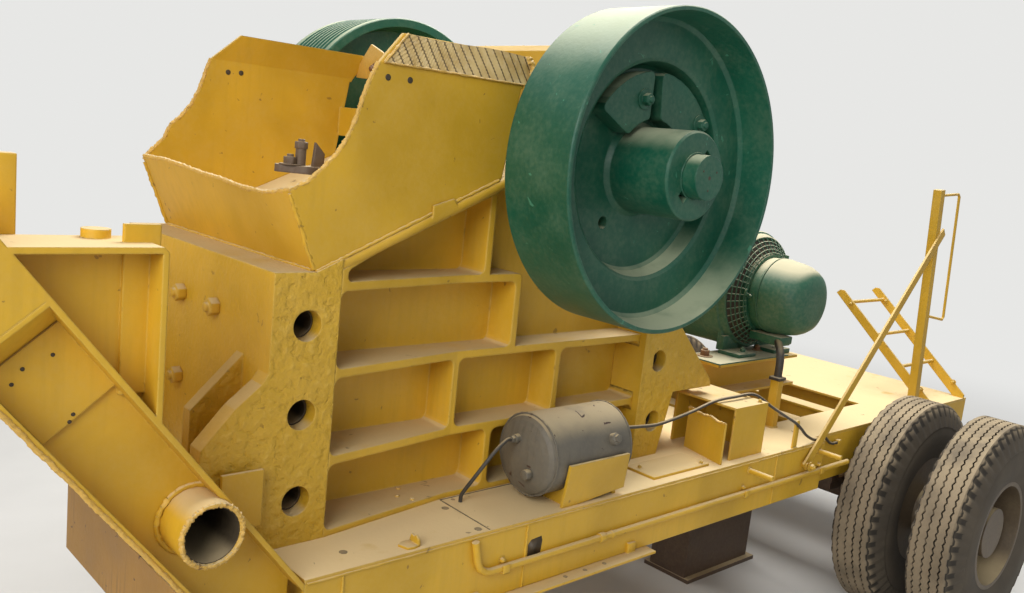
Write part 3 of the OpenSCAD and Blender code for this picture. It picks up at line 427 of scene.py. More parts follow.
bar_front, bar_back, bar_base, bar_width = -640, 292, 684, 50
bar_top = bar_base + 10
work = bmesh.new()
add_block(work, at(bar_front, rail.near - bar_width, bar_base),
          at(bar_back, rail.near - 1, bar_top))
for x in (bar_front + 80, bar_back - 112):
    add_block(work, at(x, rail.near - 12, bar_base + 4),
              at(x + 40, rail.near + 1, bar_base + 46))
made("side_bar", work, yellow)
# A dark finish for painted shade in holes, bores, the rail slot and the fan's
# inlet, for the cross tube's inner sleeve and for the dark seams between deck
# plates.
shade_and_grime = weathered("painted_shade_and_grime", srgb(58, 48, 34), srgb(90, 74, 50),
                  dust=0.5, chips=0.4)
work = bmesh.new()
# The bar's drilled holes are dark discs on its top: painted shade.
for x in (-149, -54, 43):
    add_rod(work, at(x, rail.near - 22, bar_top - 0.5),
            at(x, rail.near - 22, bar_top + 0.6), 0.008, 16)
made("side_bar_holes", work, shade_and_grime, slot="dark_steel")
step_places, step_z, step_out = (914, 1462), 879, 112
work = bmesh.new()
for x in step_places:
    add_beads(work, hoop(x, rail.near - 1.5, step_z, 12.5, 12), 0.004, 0.3,
              0.005)
for x in step_places:
    add_rod(work, at(x, rail.near + 1, step_z),
            at(x, rail.near - step_out, step_z), 0.011, 20, edge=0.002)
made("round_steps", work, yellow)
pipe = limits_of("side_pipe")
pipe_radius = 12
pipe_y, pipe_z = pipe.near + pipe_radius, pipe.base + pipe_radius
web_y = rail.near + 1
work = bmesh.new()
add_rod(work, at(10, pipe_y, pipe_z), at(38, pipe_y, pipe_z), 0.0165, 20,
        edge=0.003)
add_rod(work, at(70, pipe_y, pipe_z), at(82, pipe_y, pipe_z), 0.014, 20,
        edge=0.002)
for x in (-430, 884, 1480):
    heel = at(x - 14, pipe_y - 17, pipe_z - 14)
    add_block(work, heel, at(x + 14, web_y, pipe_z - 10))
    add_block(work, heel, at(x + 14, pipe_y - pipe_radius, pipe_z + 16))
    add_bolt(work, at(x, web_y, pipe_z + 22), (0, -1, 0), 0.016)
made("pipe_clips", work, yellow)

# Deck plates and fittings
# Steel deck plates bolted down beside the crusher, a raised plate, a torn
# bracket, an upright flat bar and the cable's square post, cut and welded.
dusty_deck = weathered("dusty_deck", srgb(206, 162, 54), srgb(230, 200, 124),
                       dust=1.25, chips=0.6, film=srgb(222, 196, 146))
coat_nodes(dusty_deck, "deck_front", "deck_rear")
bare = weathered("cut_edges", srgb(214, 168, 72), srgb(240, 210, 140),
                 dust=0.8, chips=0.8, bumps=0.9, bump_size=90.0)
deck = limits_of("deck_front")
plate_z = deck.top + 10
work = bmesh.new()
for x, y in ((-572, -331), (-612, -382), (-536, -300), (-585, -425)):
    add_bolt(work, at(x, y, deck.top), (0, 0, 1), 0.024)
for x, y in ((380, -560), (660, -640)):
    add_bolt(work, at(x, y, plate_z), (0, 0, 1), 0.014)
made("deck_bolts", work, dusty_deck)
seam_front, seam_y = -478, -436
work = bmesh.new()
# The deck's holes are dark discs, painted shade; the thin dark beads are the
# plates' seams.
for x, y in ((-953, -607), (-505, -497), (-516, -673)):
    add_rod(work, at(x, y, deck.top - 0.4), at(x, y, deck.top + 0.6), 0.012,
            18)
for x, y in ((seam_front - 9, -694), (300, seam_y)):
    add_bead(work, at(seam_front, seam_y, deck.top), at(x, y, deck.top),
             0.0022, 0.2, 0.02)
made("deck_holes", work, shade_and_grime, slot="dark_steel")


def add_plate(work, outline, push):
    """A plate cut to an outline of points and given its thickness."""
    first = [work.verts.new(corner) for corner in outline]
    face = work.faces.new(first)
    grown = bmesh.ops.extrude_face_region(work, geom=[face])["geom"]
    tops = [item for item in grown if isinstance(item, bmesh.types.BMVert)]
    bmesh.ops.translate(work, vec=Vector(push), verts=tops)
    edges = ordered(rim for vert in first + tops for rim in vert.link_edges)
    bmesh.ops.bevel(work, geom=edges, offset=Vector(push).length * 0.15,
                    segments=2, profile=0.5, affect="EDGES", material=-1)
    bmesh.ops.recalc_face_normals(work, faces=work.faces)


raised_plate = [(349, -657), (349, -520), (520, -518), (690, -520),
                (690, -657)]
torn_foot = [(-800, -652), (-790, -686), (-768, -690), (-745, -684),
             (-747, -643), (-776, -640)]
torn_leaf = [(-753, -686, 924), (-753, -684, 941), (-755, -672, 953),
             (-752, -662, 944), (-754, -650, 949), (-753, -643, 932),
             (-753, -643, 924)]
flat_front, flat_back, flat_y, flat_top = 1240, 1272, -696, 1042
flat_bar = [(flat_front, deck.top - 1), (flat_back, deck.top - 1),
            (flat_back, flat_top - 8), (flat_back - 8, flat_top),
            (flat_front + 8, flat_top), (flat_front, flat_top - 8)]
post_front, post_back, post_near, post_far = 1428, 1472, -476, -432
clip_x, clip_y, clip_z = 1715, -660, 870
foot_z = deck.top + 1
work = bmesh.new()
add_bead(work, at(flat_front, flat_y - 2, foot_z),
         at(flat_back, flat_y - 2, foot_z), 0.004)
add_beads(work, [at(post_front, post_near, foot_z),
                 at(post_back, post_near, foot_z),
                 at(post_back, post_far, foot_z),
                 at(post_front, post_far, foot_z),
                 at(post_front, post_near, foot_z)], 0.004)
add_plate(work, [at(x, y, deck.top - 0.5) for x, y in raised_plate],
          (0, 0, 0.0105))
add_plate(work, [at(x, y, deck.top - 0.5) for x, y in torn_foot],
          (0, 0, 0.0075))
add_plate(work, [at(*corner) for corner in torn_leaf], (0.008, 0, 0))
add_plate(work, [at(x, flat_y, z) for x, z in flat_bar], (0, 0.008, 0))
add_block(work, at(post_front, post_near, deck.top - 1),
          at(post_back, post_far, 1150), 0.004)
add_block(work, at(clip_x - 15, clip_y - 10, clip_z - 12),
          at(clip_x + 15, clip_y + 10, clip_z + 12), 0.002)
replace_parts(made("deck_fixtures", work, yellow), "deck_fittings")
work = bmesh.new()
# The flat bar's hole and the clip's bore are dark discs: painted shade.
add_rod(work, at(1256, flat_y - 0.4, 1020), at(1256, flat_y + 8.4, 1020),
        0.007, 16)
add_rod(work, at(clip_x, clip_y, clip_z), at(clip_x - 17, clip_y, clip_z),
        0.0085, 16)
made("bar_hole", work, shade_and_grime, slot="dark_steel")

# Rail slot
# The lifting slot in the near rail's web, closed from behind by a patch that
# a torch cut left ragged, so that only a small dark hole stays open.
slot_front, slot_back, slot_base, slot_top = -336, -235, 765, 875
ragged_hole = [(-318, 792), (-320, 836), (-306, 850), (-262, 854),
               (-256, 838), (-260, 796), (-284, 788)]
work = bmesh.new()
add_block(work, at(slot_front, rail.near + 0.6, slot_base),
          at(slot_back, rail.near + 4, slot_top), 0.0008)
made("rail_patch", work, yellow)
work = bmesh.new()
# The small open hole is a thin dark plate on the web: painted shade.
add_plate(work, [at(x, rail.near - 0.2, z) for x, z in ragged_hole],
          (0, 0.001, 0))
made("rail_slot_shade", work, shade_and_grime, slot="dark_steel")

# Gooseneck
# Two raking side beams with doublers, a knee bracket each and a cross tube
# through them, welded up. Flange edges are torch-cut and left ragged.
coat_nodes(yellow, "neck_near", "neck_far", "cross_tube", "neck_head")
doubler_y = -626
work = bmesh.new()
# The doublers' bolt holes are dark discs: painted shade.
for x, z in ((-1728, 1548), (-1786, 1522), (-1806, 1491), (-1684, 1413),
             (-1691, 1397)):
    add_rod(work, at(x, doubler_y - 1.2, z), at(x, doubler_y + 0.4, z),
            0.0045, 14)
made("neck_holes", work, shade_and_grime, slot="dark_steel")
neck_slope, neck_run = 1.2349, 276.6


def neck_low(z):
    """X of the gooseneck's lower face at a height."""
    return rail.front - (z - rail.top) / neck_slope - neck_run


tube = limits_of("cross_tube")
tube_x = round((tube.front + tube.back) / 2)
tube_z = round((tube.base + tube.top) / 2)
work = bmesh.new()
for y in (rail.near, -rail.near):
    add_beads(work, [at(neck_low(z) + random.uniform(-1, 2), y, z)
                     for z in range(720, 1480, 20)], 0.006, 0.28, 0.006)
for y in (tube.near - 1, tube.far + 1):
    add_beads(work, hoop(tube_x, y, tube_z, 75, 36), 0.0065, 0.42, 0.004)
made("torch_cut_edges", work, bare)
lug_front, lug_back, lug_base, lug_top = -1830, -1775, 1780, 1955
work = bmesh.new()
for side in (-1, 1):
    add_beads(work, [at(-1640, side * 610, 1540), at(-1519, side * 610, 1396)],
              0.006, 0.35)
    add_beads(work, hoop(tube_x, side * 620, tube_z, 86, 24), 0.007, 0.35,
              0.008)
for side in (-1, 1):
    add_block(work, at(lug_front, side * 500 - 20, lug_base),
              at(lug_back, side * 500 + 20, lug_top))
made("neck_welds", work, yellow)

# Cross tube bore
# A thin dark sleeve lines the inside of the tube through both side beams.


def add_sleeve(work, start, end, inner, wall, sides=40):
    """A short tube, open at both ends."""
    ring = bmesh.ops.create_circle(work, segments=sides, radius=inner)
    verts = ring["verts"]
    edges = ordered(rim for vert in verts for rim in vert.link_edges)
    settle(work, verts, along(start, end), start)
    grown = bmesh.ops.extrude_edge_only(work, edges=edges)["geom"]
    tops = [item for item in grown if isinstance(item, bmesh.types.BMVert)]
    bmesh.ops.translate(work, vec=end - start, verts=tops)
    faces = [item for item in grown if isinstance(item, bmesh.types.BMFace)]
    bmesh.ops.recalc_face_normals(work, faces=faces)
    bmesh.ops.solidify(work, geom=faces, thickness=wall)


work = bmesh.new()
add_sleeve(work, at(tube_x, tube.near + 1, tube_z),
           at(tube_x, tube.far - 1, tube_z), 0.0685, 0.002)
made("tube_dark_lining", work, shade_and_grime, slot="dark_steel")

# Trestle, rear stand and axle
# Welded supports under the chassis, the front one painted and the rear one
# bare and brown, and the square axle on its springs, all under road dirt.
dark = weathered("dark_steel", srgb(82, 62, 46), srgb(124, 98, 76), dust=0.7)
coat_nodes(dark, "rear_stand", "axle")
coat_nodes(weathered("road_worn_yellow", srgb(176, 126, 34),
                     srgb(206, 166, 84), chips=0.9, grime=0.6),
           "front_trestle")

# Road wheels and tyres
# Twin steel disc wheels on each side, held by ten studs, with ribbed truck
# tyres: four saw-toothed grooves round the tread and notched shoulders.
tyres = limits_of("tyres_near")
axle_x, axle_z = (tyres.front + tyres.back) / 2, tyres.top / 2
tyre_radius, half_tyre = tyres.top / 2, 125
tyre_places = (-tyres.far + half_tyre, -tyres.near - half_tyre)
notch_count = 50
# The wheels' dark brown steel is made darker still for the shade on the rims:
# partly painted shade.
wheel = weathered("wheel_steel", srgb(92, 78, 60), srgb(124, 106, 84))
coat_nodes(wheel, "wheels_near", "wheels_far")
tread, coat, shader = new_finish("tyre_rubber")
hub = at(axle_x, 0, axle_z)
ahead, above = coat.way(0) - hub.x, coat.way(2) - hub.z
reach = coat.maths("SQRT", ahead * ahead + above * above)
notch_turn = coat.maths("FRACT", coat.maths("ARCTAN2", ahead, above)
                        * (notch_count / math.tau) + (notch_count + 0.125))
notch_shade = (1 - notch_turn.within(0.44, 0.52)) * notch_turn.within(0.02, 0.1)
shoulder = reach.within(0.466, 0.474) * (1 - reach.within(0.512, 0.517))
sidewall_shade = 1 - reach.within(0.485, 0.512)
tread_groove_shade = reach.within(0.508, 0.512) * (1 - reach.within(0.515, 0.521))
cloudy = coat.grain(7.0, 5.0)
rubber_and_shade = cloudy.within(0.3, 0.7).tint(srgb(112, 99, 80),
                                           srgb(140, 124, 100))
# Sidewalls, shoulder notches and tread grooves are painted darker: painted
# shade on the rubber.
rubber_and_shade = (sidewall_shade * 0.8).tint(rubber_and_shade, srgb(60, 54, 46))
rubber_and_shade = (notch_shade * shoulder * 0.8).tint(rubber_and_shade, srgb(34, 30, 25))
rubber_and_shade = (tread_groove_shade * 0.9).tint(rubber_and_shade, srgb(26, 23, 19))
dusted = coat.facing(2).within(0.3, 0.95) * cloudy.within(0.3, 0.6)
rubber_and_shade = (dusted * 0.45).tint(rubber_and_shade, srgb(178, 158, 122))
wire(coat, shader, Base_Color=rubber_and_shade, Roughness=0.85,
     Normal=coat.node("ShaderNodeBump", None, {
         "Strength": 0.25, "Distance": 0.003,
         "Height": coat.grain(90.0, 6.0)}))


def add_spun(work, profile, x, z, steps=96):
    """A turned shape about a level cross axis, from (radius, y) points."""
    chain = [work.verts.new(at(x, y, z + radius)) for radius, y in profile]
    edges = [work.edges.new(pair) for pair in zip(chain, chain[1:])]
    bmesh.ops.spin(work, geom=chain + edges, cent=at(x, 0, z),
                   axis=(0, 1, 0), angle=math.tau, steps=steps,
                   use_merge=True)
    bmesh.ops.remove_doubles(work, verts=work.verts, dist=1e-5)
    bmesh.ops.recalc_face_normals(work, faces=work.faces)


def add_tyre(work, middle_y):
    """One tyre, turned first and then cut with its waves and notches."""
    groove_places, groove_base = (-57, -19, 19, 57), tyre_radius - 12.5
    wall = [(260, -105), (320, -half_tyre), (405, -half_tyre), (410, -122),
            (417, -122), (422, -124), (475, -111), (513, -93),
            (tyre_radius, -79)]
    profile = list(wall)
    for place in groove_places:
        profile += [(tyre_radius, place - 4), (groove_base, place - 3),
                    (groove_base, place + 3), (tyre_radius, place + 4)]
    profile += [(radius, -offset) for radius, offset in reversed(wall)]
    profile.append(profile[0])
    steps = 4 * notch_count
    part = bmesh.new()
    add_spun(part, [(radius, middle_y + offset)
                    for radius, offset in profile], axle_x, axle_z, steps)
    tread_from, tread_half, wave = 0.505, 0.07, 0.0036
    notch_from, notch_to, notch_depth, notch_width = 0.47, 0.519, 0.006, 0.008
    hub = at(axle_x, middle_y, axle_z)
    for vert in part.verts:
        arm = vert.co - hub
        radius = math.hypot(arm.x, arm.z)
        step = round(math.atan2(arm.x, arm.z) / math.tau * steps)
        if radius > tread_from and abs(arm.y) < tread_half:
            vert.co.y += wave if step % 2 else -wave
        if notch_from < radius < notch_to and step % 4 < 2:
            vert.co -= Vector((arm.x, 0, arm.z)) / radius * notch_depth
            vert.co.y -= math.copysign(notch_width, arm.y)
    bmesh.ops.recalc_face_normals(part, faces=part.faces)
    shell = bpy.data.meshes.new("tyre")
    part.to_mesh(shell)
    part.free()
    work.from_mesh(shell)
    bpy.data.meshes.remove(shell)


stud_circle, nut_seat, nut_across = 165, 1130, 0.032
hole_circle, hole_radius = 212, 0.02
for side, name in ((-1, "near"), (1, "far")):
    body = "road_wheels_" + name
    work = bmesh.new()
    for place in tyre_places:
        add_tyre(work, side * place)
    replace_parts(made("tyre_treads_" + name, work, tread, body, "tyre_rubber"),
                "tyres_" + name)
    work = bmesh.new()
    for spot in hoop(axle_x, side * nut_seat, axle_z, stud_circle, 10,
                     0.2)[:-1]:
        add_bolt(work, spot, (0, side, 0), nut_across)
    made("wheel_nuts_" + name, work, wheel, body, "wheel_steel")
    work = bmesh.new()
    # The wheel discs' hand holes are dark discs: painted shade.
    inner, outer = (hoop(axle_x, side * (nut_seat + step), axle_z,
                         hole_circle, 8)[:-1] for step in (-1, 1))
    for start, end in zip(inner, outer):
        add_rod(work, start, end, hole_radius, 20)
    made("hand_holes_" + name, work, shade_and_grime, body, "wheel_steel")

# Crusher frame castings
# Front wall, ribbed side plates and rear wall are iron castings, rough from
# the sand under thick paint, bolted together. Dark sleeves and discs in their
# bores are painted shade.
cast_yellow = weathered("cast_yellow", srgb(208, 163, 38),
                        srgb(234, 198, 98), bumps=0.5, bump_size=46.0,
                        edge=0.01)
rough_cast = weathered("rough_cast", srgb(210, 166, 40),
                       srgb(236, 200, 100), bumps=0.65, edge=0.008,
                       chips=0.35, pits=1.0)
coat_nodes(cast_yellow, "side_near", "side_far")
coat_nodes(rough_cast, "front_casting", "rear_casting")
wall_x = -1156
work = bmesh.new()
for y in (-177, 49, 275):
    for z in (1538, 1281):
        add_bolt(work, at(wall_x, y, z), (-1, 0, 0), 0.046, washer=False)
made("wall_bolts", work, cast_yellow)
bores = [(-1050, 452, 312, z) for z in (1544, 1296, 1048)]
bores += [(546, 412, 330, 1307), (552, 412, 330, 1062)]
work = bmesh.new()
# Dark sleeves and end discs in the flange bores: painted shade.
for side in (-1, 1):
    for x, mouth_y, floor_y, z in bores:
        add_sleeve(work, at(x, side * mouth_y, z), at(x, side * floor_y, z),
                   0.0425, 0.005)
        add_rod(work, at(x, side * (floor_y + 4), z),
                at(x, side * (floor_y - 1), z), 0.046, 32)
made("flange_bores", work, shade_and_grime, slot="dark_steel")
hopper = limits_of("hopper_near")
plate_y, mouth_x, front_lean = -hopper.near, -1032, 0.427
work = bmesh.new()
for side in (-1, 1):
    foot_y = side * (plate_y + 1)
    add_beads(work, [at(-1028, foot_y, 1691), at(-800, foot_y, 1793),
                     at(-410, foot_y, 1966)], 0.005, 0.35)
    add_beads(work, [at(mouth_x - 1 - front_lean * rise,
                        side * (plate_y - 5), hopper.base + rise)
                     for rise in (4, 70, 140, 205)], 0.006, 0.4)
add_beads(work, [at(mouth_x - 4, -474, 1691), at(mouth_x - 4, 474, 1691)],
          0.005, 0.35)
made("frame_welds", work, yellow)

# Jaws
# Cast manganese steel jaws, the swing jaw hung on the eccentric shaft and
# propped by its toggle plate. Bare metal, grey-brown under rock dust.
iron = weathered("jaw_iron", srgb(96, 90, 84), srgb(150, 142, 130), dust=0.7,
                 bumps=0.6)
coat_nodes(iron, "fixed_jaw", "pitman", "toggle")

# Bearings and top cover
# Cast bearing housings bolted to the side plates, and a bent plate cover
# screwed over the shaft between them.
coat_nodes(cast_yellow, "bearings")
coat_nodes(yellow, "top_cover")
cover = limits_of("top_cover")
bearing_face, bearing_circle = 369, 203
work = bmesh.new()
for y in (-405, -200, 0, 200, 405):
    add_bolt(work, at(-100, y, cover.top - 7), (0.1, 0, 1), 0.02)
made("cover_bolts", work, yellow)
work = bmesh.new()
for side in (-1, 1):
    for spot in hoop(0, side * bearing_face, shaft_z, bearing_circle, 8,
                     0.38)[:-1]:
        add_bolt(work, spot, (0, side, 0), 0.022, washer=False)
made("bearing_bolts", work, yellow)

# Hopper
# Thick plates welded round the mouth, cut by torch and never ground, with an
# inturned lip, a bent bracket on the far side and drilled holes.
coat_nodes(yellow, "hopper_front", "hopper_near", "hopper_far")
near_cut = [(-1123, 1903), (-1067, 1930), (-1025, 1967), (-988, 2006),
            (-956, 2058), (-935, 2110), (-918, 2168), (-903, 2209),
            (-880, 2260)]
far_cut = [(-1123, 1903), (-1109, 1928), (-1060, 1978), (-1039, 2026),
           (-1005, 2056), (-973, 2096), (-947, 2149), (-911, 2260)]
front_cut = [(-484, 213), (-324, 189), (-184, 191), (-66, 202), (64, 207),
             (164, 216), (305, 225), (484, 224)]
cut_y, inner_y = plate_y - 6, plate_y - 12
burr = 0.0066, 0.34, 0.005
work = bmesh.new()
for cut, y in ((near_cut, -cut_y), (far_cut, cut_y)):
    add_beads(work, [at(x, y, z) for x, z in cut], *burr)
add_beads(work, [at(mouth_x - front_lean * rise + 5.5, y,
                    hopper.base + rise + 2)
                 for y, rise in front_cut], *burr)
made("hopper_cut_edges", work, bare)
work = bmesh.new()
# The hopper plates' drilled holes are dark discs: painted shade.
for x, z in ((-849, 2223), (-775, 2224)):
    add_rod(work, at(x, -plate_y - 0.8, z), at(x, -plate_y + 1, z), 0.009, 16)
for x, z in ((-848, 2222), (-800, 2225)):
    add_rod(work, at(x, inner_y - 1, z), at(x, inner_y + 0.8, z), 0.009, 16)
made("hopper_holes", work, shade_and_grime, slot="dark_steel")
bracket_x = -330
bracket = [(392, 2392), (309, 2361), (297, 2334), (340, 2300), (367, 2262),
           (476, 2268), (475, 2305)]
work = bmesh.new()
add_plate(work, [at(bracket_x, y, z) for y, z in bracket], (0.01, 0, 0))
made("lip_bracket", work, bare)

# Grooved lip skin
# The near lip carries a wear skin with rolled slanting grooves, a little bent
# by use and torn at its rear end, tacked along its foot.
groove_pitch, groove_slant, groove_share = 29.0, 36, 0.92
lip_z, skin_front, skin_length, skin_height = 2262, -866, 560, 88
work = bmesh.new()
bmesh.ops.create_grid(work, x_segments=250, y_segments=10, size=0.5)
for vert in work.verts:
    run, rise = vert.co.x + 0.5, vert.co.y + 0.5
    x = skin_front + 93 * rise + run * (skin_length - 100 * rise)
    groove_turn = (x * groove_share + rise * groove_slant) / groove_pitch % 1.0
    dip = 2.6 if 0.44 < groove_turn < 0.6 else 0.0
    bulge = 3.0 * math.sin(run * 9.0 + 0.6) * (0.3 + 0.7 * rise)
    vert.co = at(x, -plate_y + 28 * rise - 5.4 - bulge + dip,
                 lip_z + rise * skin_height - 3.0 * rise * math.sin(run * 7.0))
bmesh.ops.recalc_face_normals(work, faces=work.faces)
bmesh.ops.solidify(work, geom=list(work.faces), thickness=0.0015)
lip_finish, coat, shader = new_finish("grooved_skin")
rise = (coat.way(2) - lip_z / 1000) * 11.36
along_lip = (coat.way(0) + origin_x / 1000) * (groove_share * 1000)
groove_turn = coat.maths("FRACT", (along_lip + rise * groove_slant)
                         * (1 / groove_pitch))
lip_groove_shade = groove_turn.within(0.4, 0.46) * (1 - groove_turn.within(0.58, 0.64))
skin = coat.grain(14.0, 5.0).within(0.3, 0.7).tint(srgb(178, 146, 84),
                                                   srgb(206, 178, 120))
skin = (coat.grain(60.0, 4.0).within(0.45, 0.75) * 0.5).tint(skin, dust_tan)
# The skin's grooves are painted dark: painted shade in the grooves.
skin = (lip_groove_shade * 0.85).tint(skin, srgb(74, 58, 34))
wire(coat, shader, Base_Color=skin, Roughness=0.75)
made("lip_skin", work, lip_finish, crease=50)
work = bmesh.new()
add_beads(work, [at(-868, -492, 2262), at(-700, -493, 2262),
                 at(-500, -492, 2261), at(-312, -492, 2262)], 0.003, 0.5)
add_beads(work, [at(-312, -493, 2262), at(-318, -488, 2290),
                 at(-306, -480, 2318), at(-322, -468, 2347)], 0.007, 0.8,
          0.006)
add_beads(work, [at(-866, -493, 2262), at(-778, -466, 2349)], 0.004, 0.5)
made("lip_torn_end", work, bare)

# Clamp tongue
# A rusty iron tongue with a lug, hooked over the hopper's near plate and
# never painted, and the rusty bolt of the far bracket.
rusty = weathered("rusty_iron", srgb(124, 84, 52), srgb(160, 118, 78),
                  dust=0.5, chips=0.8, bumps=0.6)
old_iron = weathered("old_iron", srgb(86, 66, 48), srgb(132, 104, 74),
                     dust=0.6, chips=0.8, bumps=0.8)
coat_nodes(old_iron, "hopper_lug")
work = bmesh.new()
add_bolt(work, at(-1068, -434, 2010), (0, 0, 1), 0.03, washer=False)
add_bolt(work, at(-1096, -430, 1966), (0, 0, 1), 0.03)
made("tongue_bolts", work, old_iron, slot="rusty_iron")
work = bmesh.new()
add_bolt(work, at(bracket_x, 351, 2300), (-1, 0, 0), 0.026)
made("bracket_bolt", work, rusty, slot="rusty_iron")

# Flywheels and shaft
# Cast iron flywheels keyed on the eccentric shaft, painted dark green inside
# and out, with cast counterweights held by studs. Dust lies in the rims.
green = weathered("worn_green", srgb(10, 84, 61), srgb(26, 94, 72),
                  dust=1.0, chips=0.5, bumps=0.25, bump_size=90.0,
                  rough=0.4, edge=0.006, film=srgb(172, 178, 146),
                  under=srgb(84, 152, 122))
coat_nodes(green, "shaft", "flywheel_near", "flywheel_far", "counterweights",
           "motor_pulley")
weights, shaft = limits_of("counterweights"), limits_of("shaft")
work = bmesh.new()
for x, z in ((-69, 2258), (221, 2205)):
    add_bolt(work, at(x, weights.near, z), (0, -1, 0), 0.034)
made("weight_studs", work, green, "rotor", "green_paint")
work = bmesh.new()
# The shaft's centre hole and tapped holes are dark discs: painted shade.
add_rod(work, at(0, shaft.near + 0.6, shaft_z),
        at(0, shaft.near - 0.4, shaft_z), 0.006, 20)
for hole in hoop(0, shaft.near + 0.6, shaft_z, 38, 3, 0.52)[:-1]:
    add_rod(work, hole, hole - Vector((0, 0.0009, 0)), 0.0035, 12)
made("shaft_centre", work, shade_and_grime, "rotor", "green_paint")
work = bmesh.new()
hub_face = limits_of("flywheel_near").near
add_beads(work, hoop(0, hub_face - 0.5, shaft_z, 71, 40), 0.0028, 0.3)
made("hub_seat", work, green, "rotor", "green_paint")

# Motor and its base
# An electric motor with a domed fan cover, on two welded beams with a dusty
# slide plate between them. Wire rings and spokes close the fan's inlet.
coat_nodes(yellow, "motor_base")
motor_sides, fan_sides = limits_of("motor"), limits_of("motor_cover")
motor_x = (motor_sides.front + motor_sides.back) / 2
motor_z = (fan_sides.base + fan_sides.top) / 2
base_top = limits_of("motor_base").top
motor_green = weathered("motor_green", srgb(28, 88, 64), srgb(92, 130, 104),
                        dust=1.3, chips=0.15, bumps=0.2, bump_size=90.0,
                        rough=0.5, edge=0.005, film=srgb(190, 182, 150),
                        under=srgb(80, 120, 96))
work = bmesh.new()
add_spun(work, [(0, 420), (70, 420), (72, 424), (110, 424), (114, 418),
                (206, 414), (240, 398), (262, 372), (284, 352), (290, 344),
                (290, 332), (286, 328), (286, -60), (290, -64), (290, -150),
                (287, -157), (280, -161), (275, -172), (272, -187),
                (266, -194), (258, -192), (252, -176), (190, -214),
                (190, -250), (0, -250)], motor_x, motor_z, 96)
for foot_y in (-220, 380):
    front = foot_y < 0
    rib_y, cap_y, bolt_y = (-150, -30, -30) if front else (330, 8, 34)
    for side in (-1, 1):
        low, high = sorted((motor_x + side * 80, motor_x + side * 222))
        add_block(work, at(low, foot_y - 60, base_top),
                  at(high, foot_y + 60, base_top + 24), 0.004)
        add_plate(work, [at(motor_x + side * reach_x, rib_y - 10, z)
                         for reach_x, z in ((90, 1220), (90, 1232),
                                            (212, 1312), (214, 1220))],
                  (0, 0.02, 0))
        add_block(work, at(low + 8, rib_y + cap_y, 1222),
                  at(high - 8, rib_y + (-6 if front else 30), 1290), 0.004)
        add_bolt(work, at((low + high) / 2, foot_y + bolt_y, base_top + 24),
                 (0, 0, 1), 0.026)
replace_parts(made("motor_frame", work, motor_green, slot="green_paint"),
            "motor")


def guard_place(share, turn_at):
    """A point on the inlet's cone, from its outer rim to the fan cover."""
    radius, y = 262 - 76 * share, -196 - 54 * share
    return at(motor_x + radius * math.cos(turn_at), y,
              motor_z + radius * math.sin(turn_at))


guard_wire = 0.0028
work = bmesh.new()
for count in range(44):
    spot = count * math.tau / 44
    add_rod(work, guard_place(0, spot), guard_place(1, spot), guard_wire, 6)
for share in (0.2, 0.42, 0.64, 0.86):
    ring = [guard_place(share, step * math.tau / 48) for step in range(49)]
    for start, end in zip(ring, ring[1:]):
        add_rod(work, start, end, 0.003, 6)
made("fan_guard", work, motor_green, slot="green_paint")
work = bmesh.new()
add_spun(work, [(257, -184), (191, -222), (191, -219), (256, -181),
                (257, -184)], motor_x, motor_z, 64)
made("fan_shade", work, shade_and_grime, slot="green_paint")
work = bmesh.new()
add_spun(work, [(0, -249), (172, -249), (176, -256), (177, -291), (182, -297),
                (182, -302), (177, -303), (177, -306), (181, -307),
                (181, -333),
                (177, -350), (172, -396), (164, -430), (152, -456),
                (136, -478), (112, -491), (80, -499), (40, -501), (0, -501)],
         motor_x, motor_z, 96)
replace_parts(made("fan_cover", work, motor_green, slot="green_paint"),
            "motor_cover")
work = bmesh.new()
for x, y, z in ((1625, -300, 1683), (1642, -300, 1680)):
    add_rod(work, at(x, y, z - 6), at(x, y, z + 14), 0.005, 12)
for x in (1588, 1618):
    add_sleeve(work, at(x, -110, 1806), at(x, -100, 1806), 0.013, 0.006, 20)
    add_rod(work, at(x, -105, 1786), at(x, -105, 1796), 0.007, 12)
add_rod(work, at(1412, -262, 1503), at(1380, -268, 1513), 0.006, 12)
add_rod(work, at(1380, -268, 1507), at(1380, -268, 1530), 0.005, 12)
add_bolt(work, at(1420, -262, 1500), (0, -1, 0), 0.014)
made("motor_clips", work, motor_green, slot="green_paint")
work = bmesh.new()
add_block(work, at(1506, -410, 1288), at(1606, -236, 1326), 0.006)
add_block(work, at(1512, -404, 1282), at(1600, -300, 1290), 0.003)
made("cable_box", work, motor_green, slot="green_paint")
slide_z = base_top + 6
work = bmesh.new()
add_block(work, at(1173, -320, base_top - 0.5), at(1750, -120, slide_z), 0.001)
made("slide_plate", work, motor_green, slot="green_paint")
work = bmesh.new()
add_bolt(work, at(1250, -180, slide_z), (0, 0, 1), 0.04)
add_bolt(work, at(1666, -194, slide_z), (0, 0, 1), 0.028)
made("slide_bolts", work, rusty, slot="rusty_iron")

